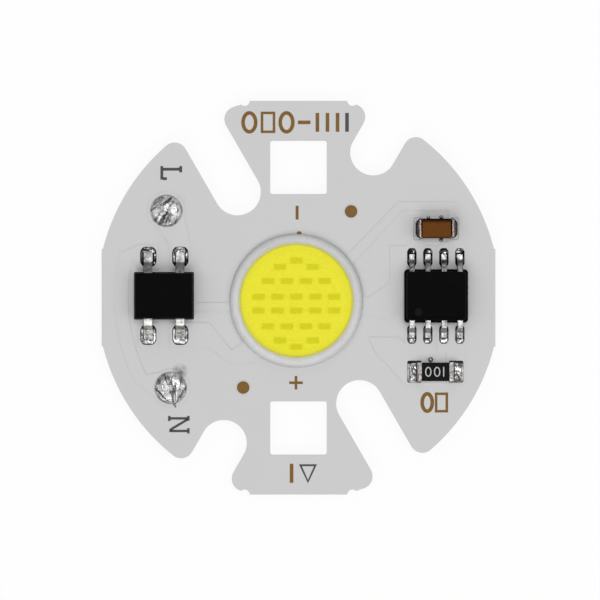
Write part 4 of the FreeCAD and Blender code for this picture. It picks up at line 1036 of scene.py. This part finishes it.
# Letters about their own middle, in millimetres, before they are turned
LETTER_L = [[(-0.5, 0.75), (0.0, 0.75)], [(-0.25, 0.67), (-0.25, -0.67)],
            [(-0.5, -0.75), (0.58, -0.75)], [(0.5, -0.67), (0.5, -0.35)]]
LETTER_N = [[(-0.7, 0.76), (-0.32, 0.76)], [(-0.5, 0.68), (-0.5, -0.68)], [(-0.7, -0.76), (-0.28, -0.76)],
            [(-0.42, 0.7), (0.42, -0.7)], [(0.5, 0.68), (0.5, -0.76)], [(0.28, 0.76), (0.7, 0.76)]]
marks("live_letter", dark_stroke, [turned(path, (-10.1, 9.95), -90) for path in LETTER_L], 0.23)
marks("neutral_letter", dark_stroke, [turned(path, (-9.5, -10.08), -90) for path in LETTER_N], 0.2)

# Plain shapes: a row on the upper tab, two beside the resistor, and two on the lower tab
UPPER_Y = 13.92
UPPER_HEIGHT = 1.5
BESIDE_Y = -8.32
BESIDE_HEIGHT = 1.38
for name, tree, paths, closed in (
        ("upper_rings", stroke, [oval(x, UPPER_Y, 1.0, UPPER_HEIGHT) for x in (-3.9, -0.95)], True),
        ("upper_oblong", stroke, [oblong(-2.42, UPPER_Y, 0.95, UPPER_HEIGHT)], True),
        ("upper_bars", stroke, [[(-0.05, UPPER_Y), (0.95, UPPER_Y)]] + [
            upright(x, UPPER_Y, UPPER_HEIGHT) for x in (1.5, 2.3, 3.1)], False),
        ("upper_dark_bar", dark_stroke, [upright(3.85, UPPER_Y, UPPER_HEIGHT)], False),
        ("rating_ring", stroke, [oval(10.22, BESIDE_Y, 0.8, BESIDE_HEIGHT)], True),
        ("rating_oblong", stroke, [oblong(11.35, BESIDE_Y, 0.85, BESIDE_HEIGHT)], True),
        ("lower_bar", stroke, [upright(-0.55, -13.94, 1.52)], False),
        ("lower_triangle", dark_stroke, [[(0.75, -14.6), (0.15, -13.3), (1.35, -13.3)]], True)):
    marks(name, tree, paths, SHAPE_STROKE, closed)


def flat_dot(name, x, y, radius, finish):
    """A small round of bare metal or dirt on the coat."""
    work = bmesh.new()
    bmesh.ops.create_circle(work, cap_ends=True, segments=32, radius=radius * MM)
    bmesh.ops.translate(work, verts=work.verts, vec=(x * MM, y * MM, LOW_COAT + MARK_DEPTH))
    seat(worked_piece(name, work), finish=finish)


flat_dot("dam_dot", 0.05, 5.08, 0.2, COPPER)
flat_dot("flux_speck", 12.0, -4.33, 0.08, DARK_MARK)

# Plain figures on the resistor, one, nought and nought, as read from its +Y side
glaze_middle = middle_of("resistor_overcoat").xy / MM
glaze_top = limits("resistor_overcoat")[1].z
for name, paths, closed in (
        ("figure_one", [upright(-0.64, 0, 0.76)], False),
        ("figure_noughts", [oval(x, 0, 0.42, 0.7, 24) for x in (-0.12, 0.58)], True)):
    marks(name, print_stroke, [turned(path, glaze_middle, 180) for path in paths], FIGURE_STROKE,
          closed, glaze_top)


# Studio

FLOOR_HALF = 0.6
FLOOR_LEVEL = -0.02 * MM
AIM = Vector((0, 0, 0))
AIR_GLOW = 0.285  # strength of the white light from all round
LAMPS = (  # name, place and size in metres, and power in watts
    ("key_softbox", (-0.10, -0.36, 0.46), 0.36, 1.03),
    ("right_softbox", (0.36, -0.10, 0.46), 0.36, 0.64),
    ("left_softbox", (-0.38, 0.02, 0.44), 0.34, 0.4),
    ("back_softbox", (0.0, 0.52, 0.30), 0.30, 0.42),
    ("top_softbox", (0.1, 0.13, 0.60), 0.2, 0.78),
)


def studio_floor():
    """White ground that stays white to the camera and still takes the board's shadow."""
    work = bmesh.new()
    work.faces.new([work.verts.new((x * FLOOR_HALF, y * FLOOR_HALF, FLOOR_LEVEL))
                    for x, y in ((-1, -1), (1, -1), (1, 1), (-1, 1))])
    floor = worked_piece("studio_floor", work)
    paint = Finish("floor_paint", rgb(250, 250, 250), 0.9)
    seen = add(paint.tree, "ShaderNodeLightPath", output="Is Camera Ray")
    for ray in ("Is Glossy Ray", "Is Transmission Ray"):
        seen = (seen + add(paint.tree, "ShaderNodeLightPath", output=ray)).kept_in()
    glow = add(paint.tree, "ShaderNodeEmission", None, {"Color": (1, 1, 1, 1), "Strength": 1.0})
    body = Signal(paint.tree, paint.shader.outputs[0])
    blend = add(paint.tree, "ShaderNodeMixShader", None, {0: seen * 0.9, 1: body, 2: glow})
    paint.tree.links.new(blend.socket, paint.tree.nodes["Material Output"].inputs[0])
    floor.data.materials.append(paint.material)


def softbox(name, place, size, power):
    """A square lamp that faces the middle of the board."""
    lamp = bpy.data.lights.new(name, "AREA")
    lamp.shape = "SQUARE"
    lamp.size = size
    lamp.energy = power
    piece = link(name, lamp)
    piece.location = place
    piece.rotation_euler = (AIM - Vector(place)).to_track_quat("-Z", "Y").to_euler()


studio_floor()
for lamp in LAMPS:
    softbox(*lamp)

world = bpy.data.worlds.new("studio_air")
world.use_nodes = True
world.node_tree.nodes["Background"].inputs["Color"].default_value = (1.0, 1.0, 1.0, 1.0)
world.node_tree.nodes["Background"].inputs["Strength"].default_value = AIR_GLOW
bpy.context.scene.world = world

LENS = 200.0
SENSOR = 36.0
PICTURE_WIDTH = 47.62 * MM
PICTURE_MIDDLE = (0.119 * MM, -0.183 * MM)
camera_data = bpy.data.cameras.new("camera")
camera_data.lens = LENS
camera_data.sensor_width = SENSOR
camera_data.clip_start = 0.005
camera_data.clip_end = 5.0
camera = link("camera", camera_data)
camera.location = (*PICTURE_MIDDLE, COAT_TOP + PICTURE_WIDTH * LENS / SENSOR)
bpy.context.scene.camera = camera
bpy.context.scene.view_settings.view_transform = "Standard"
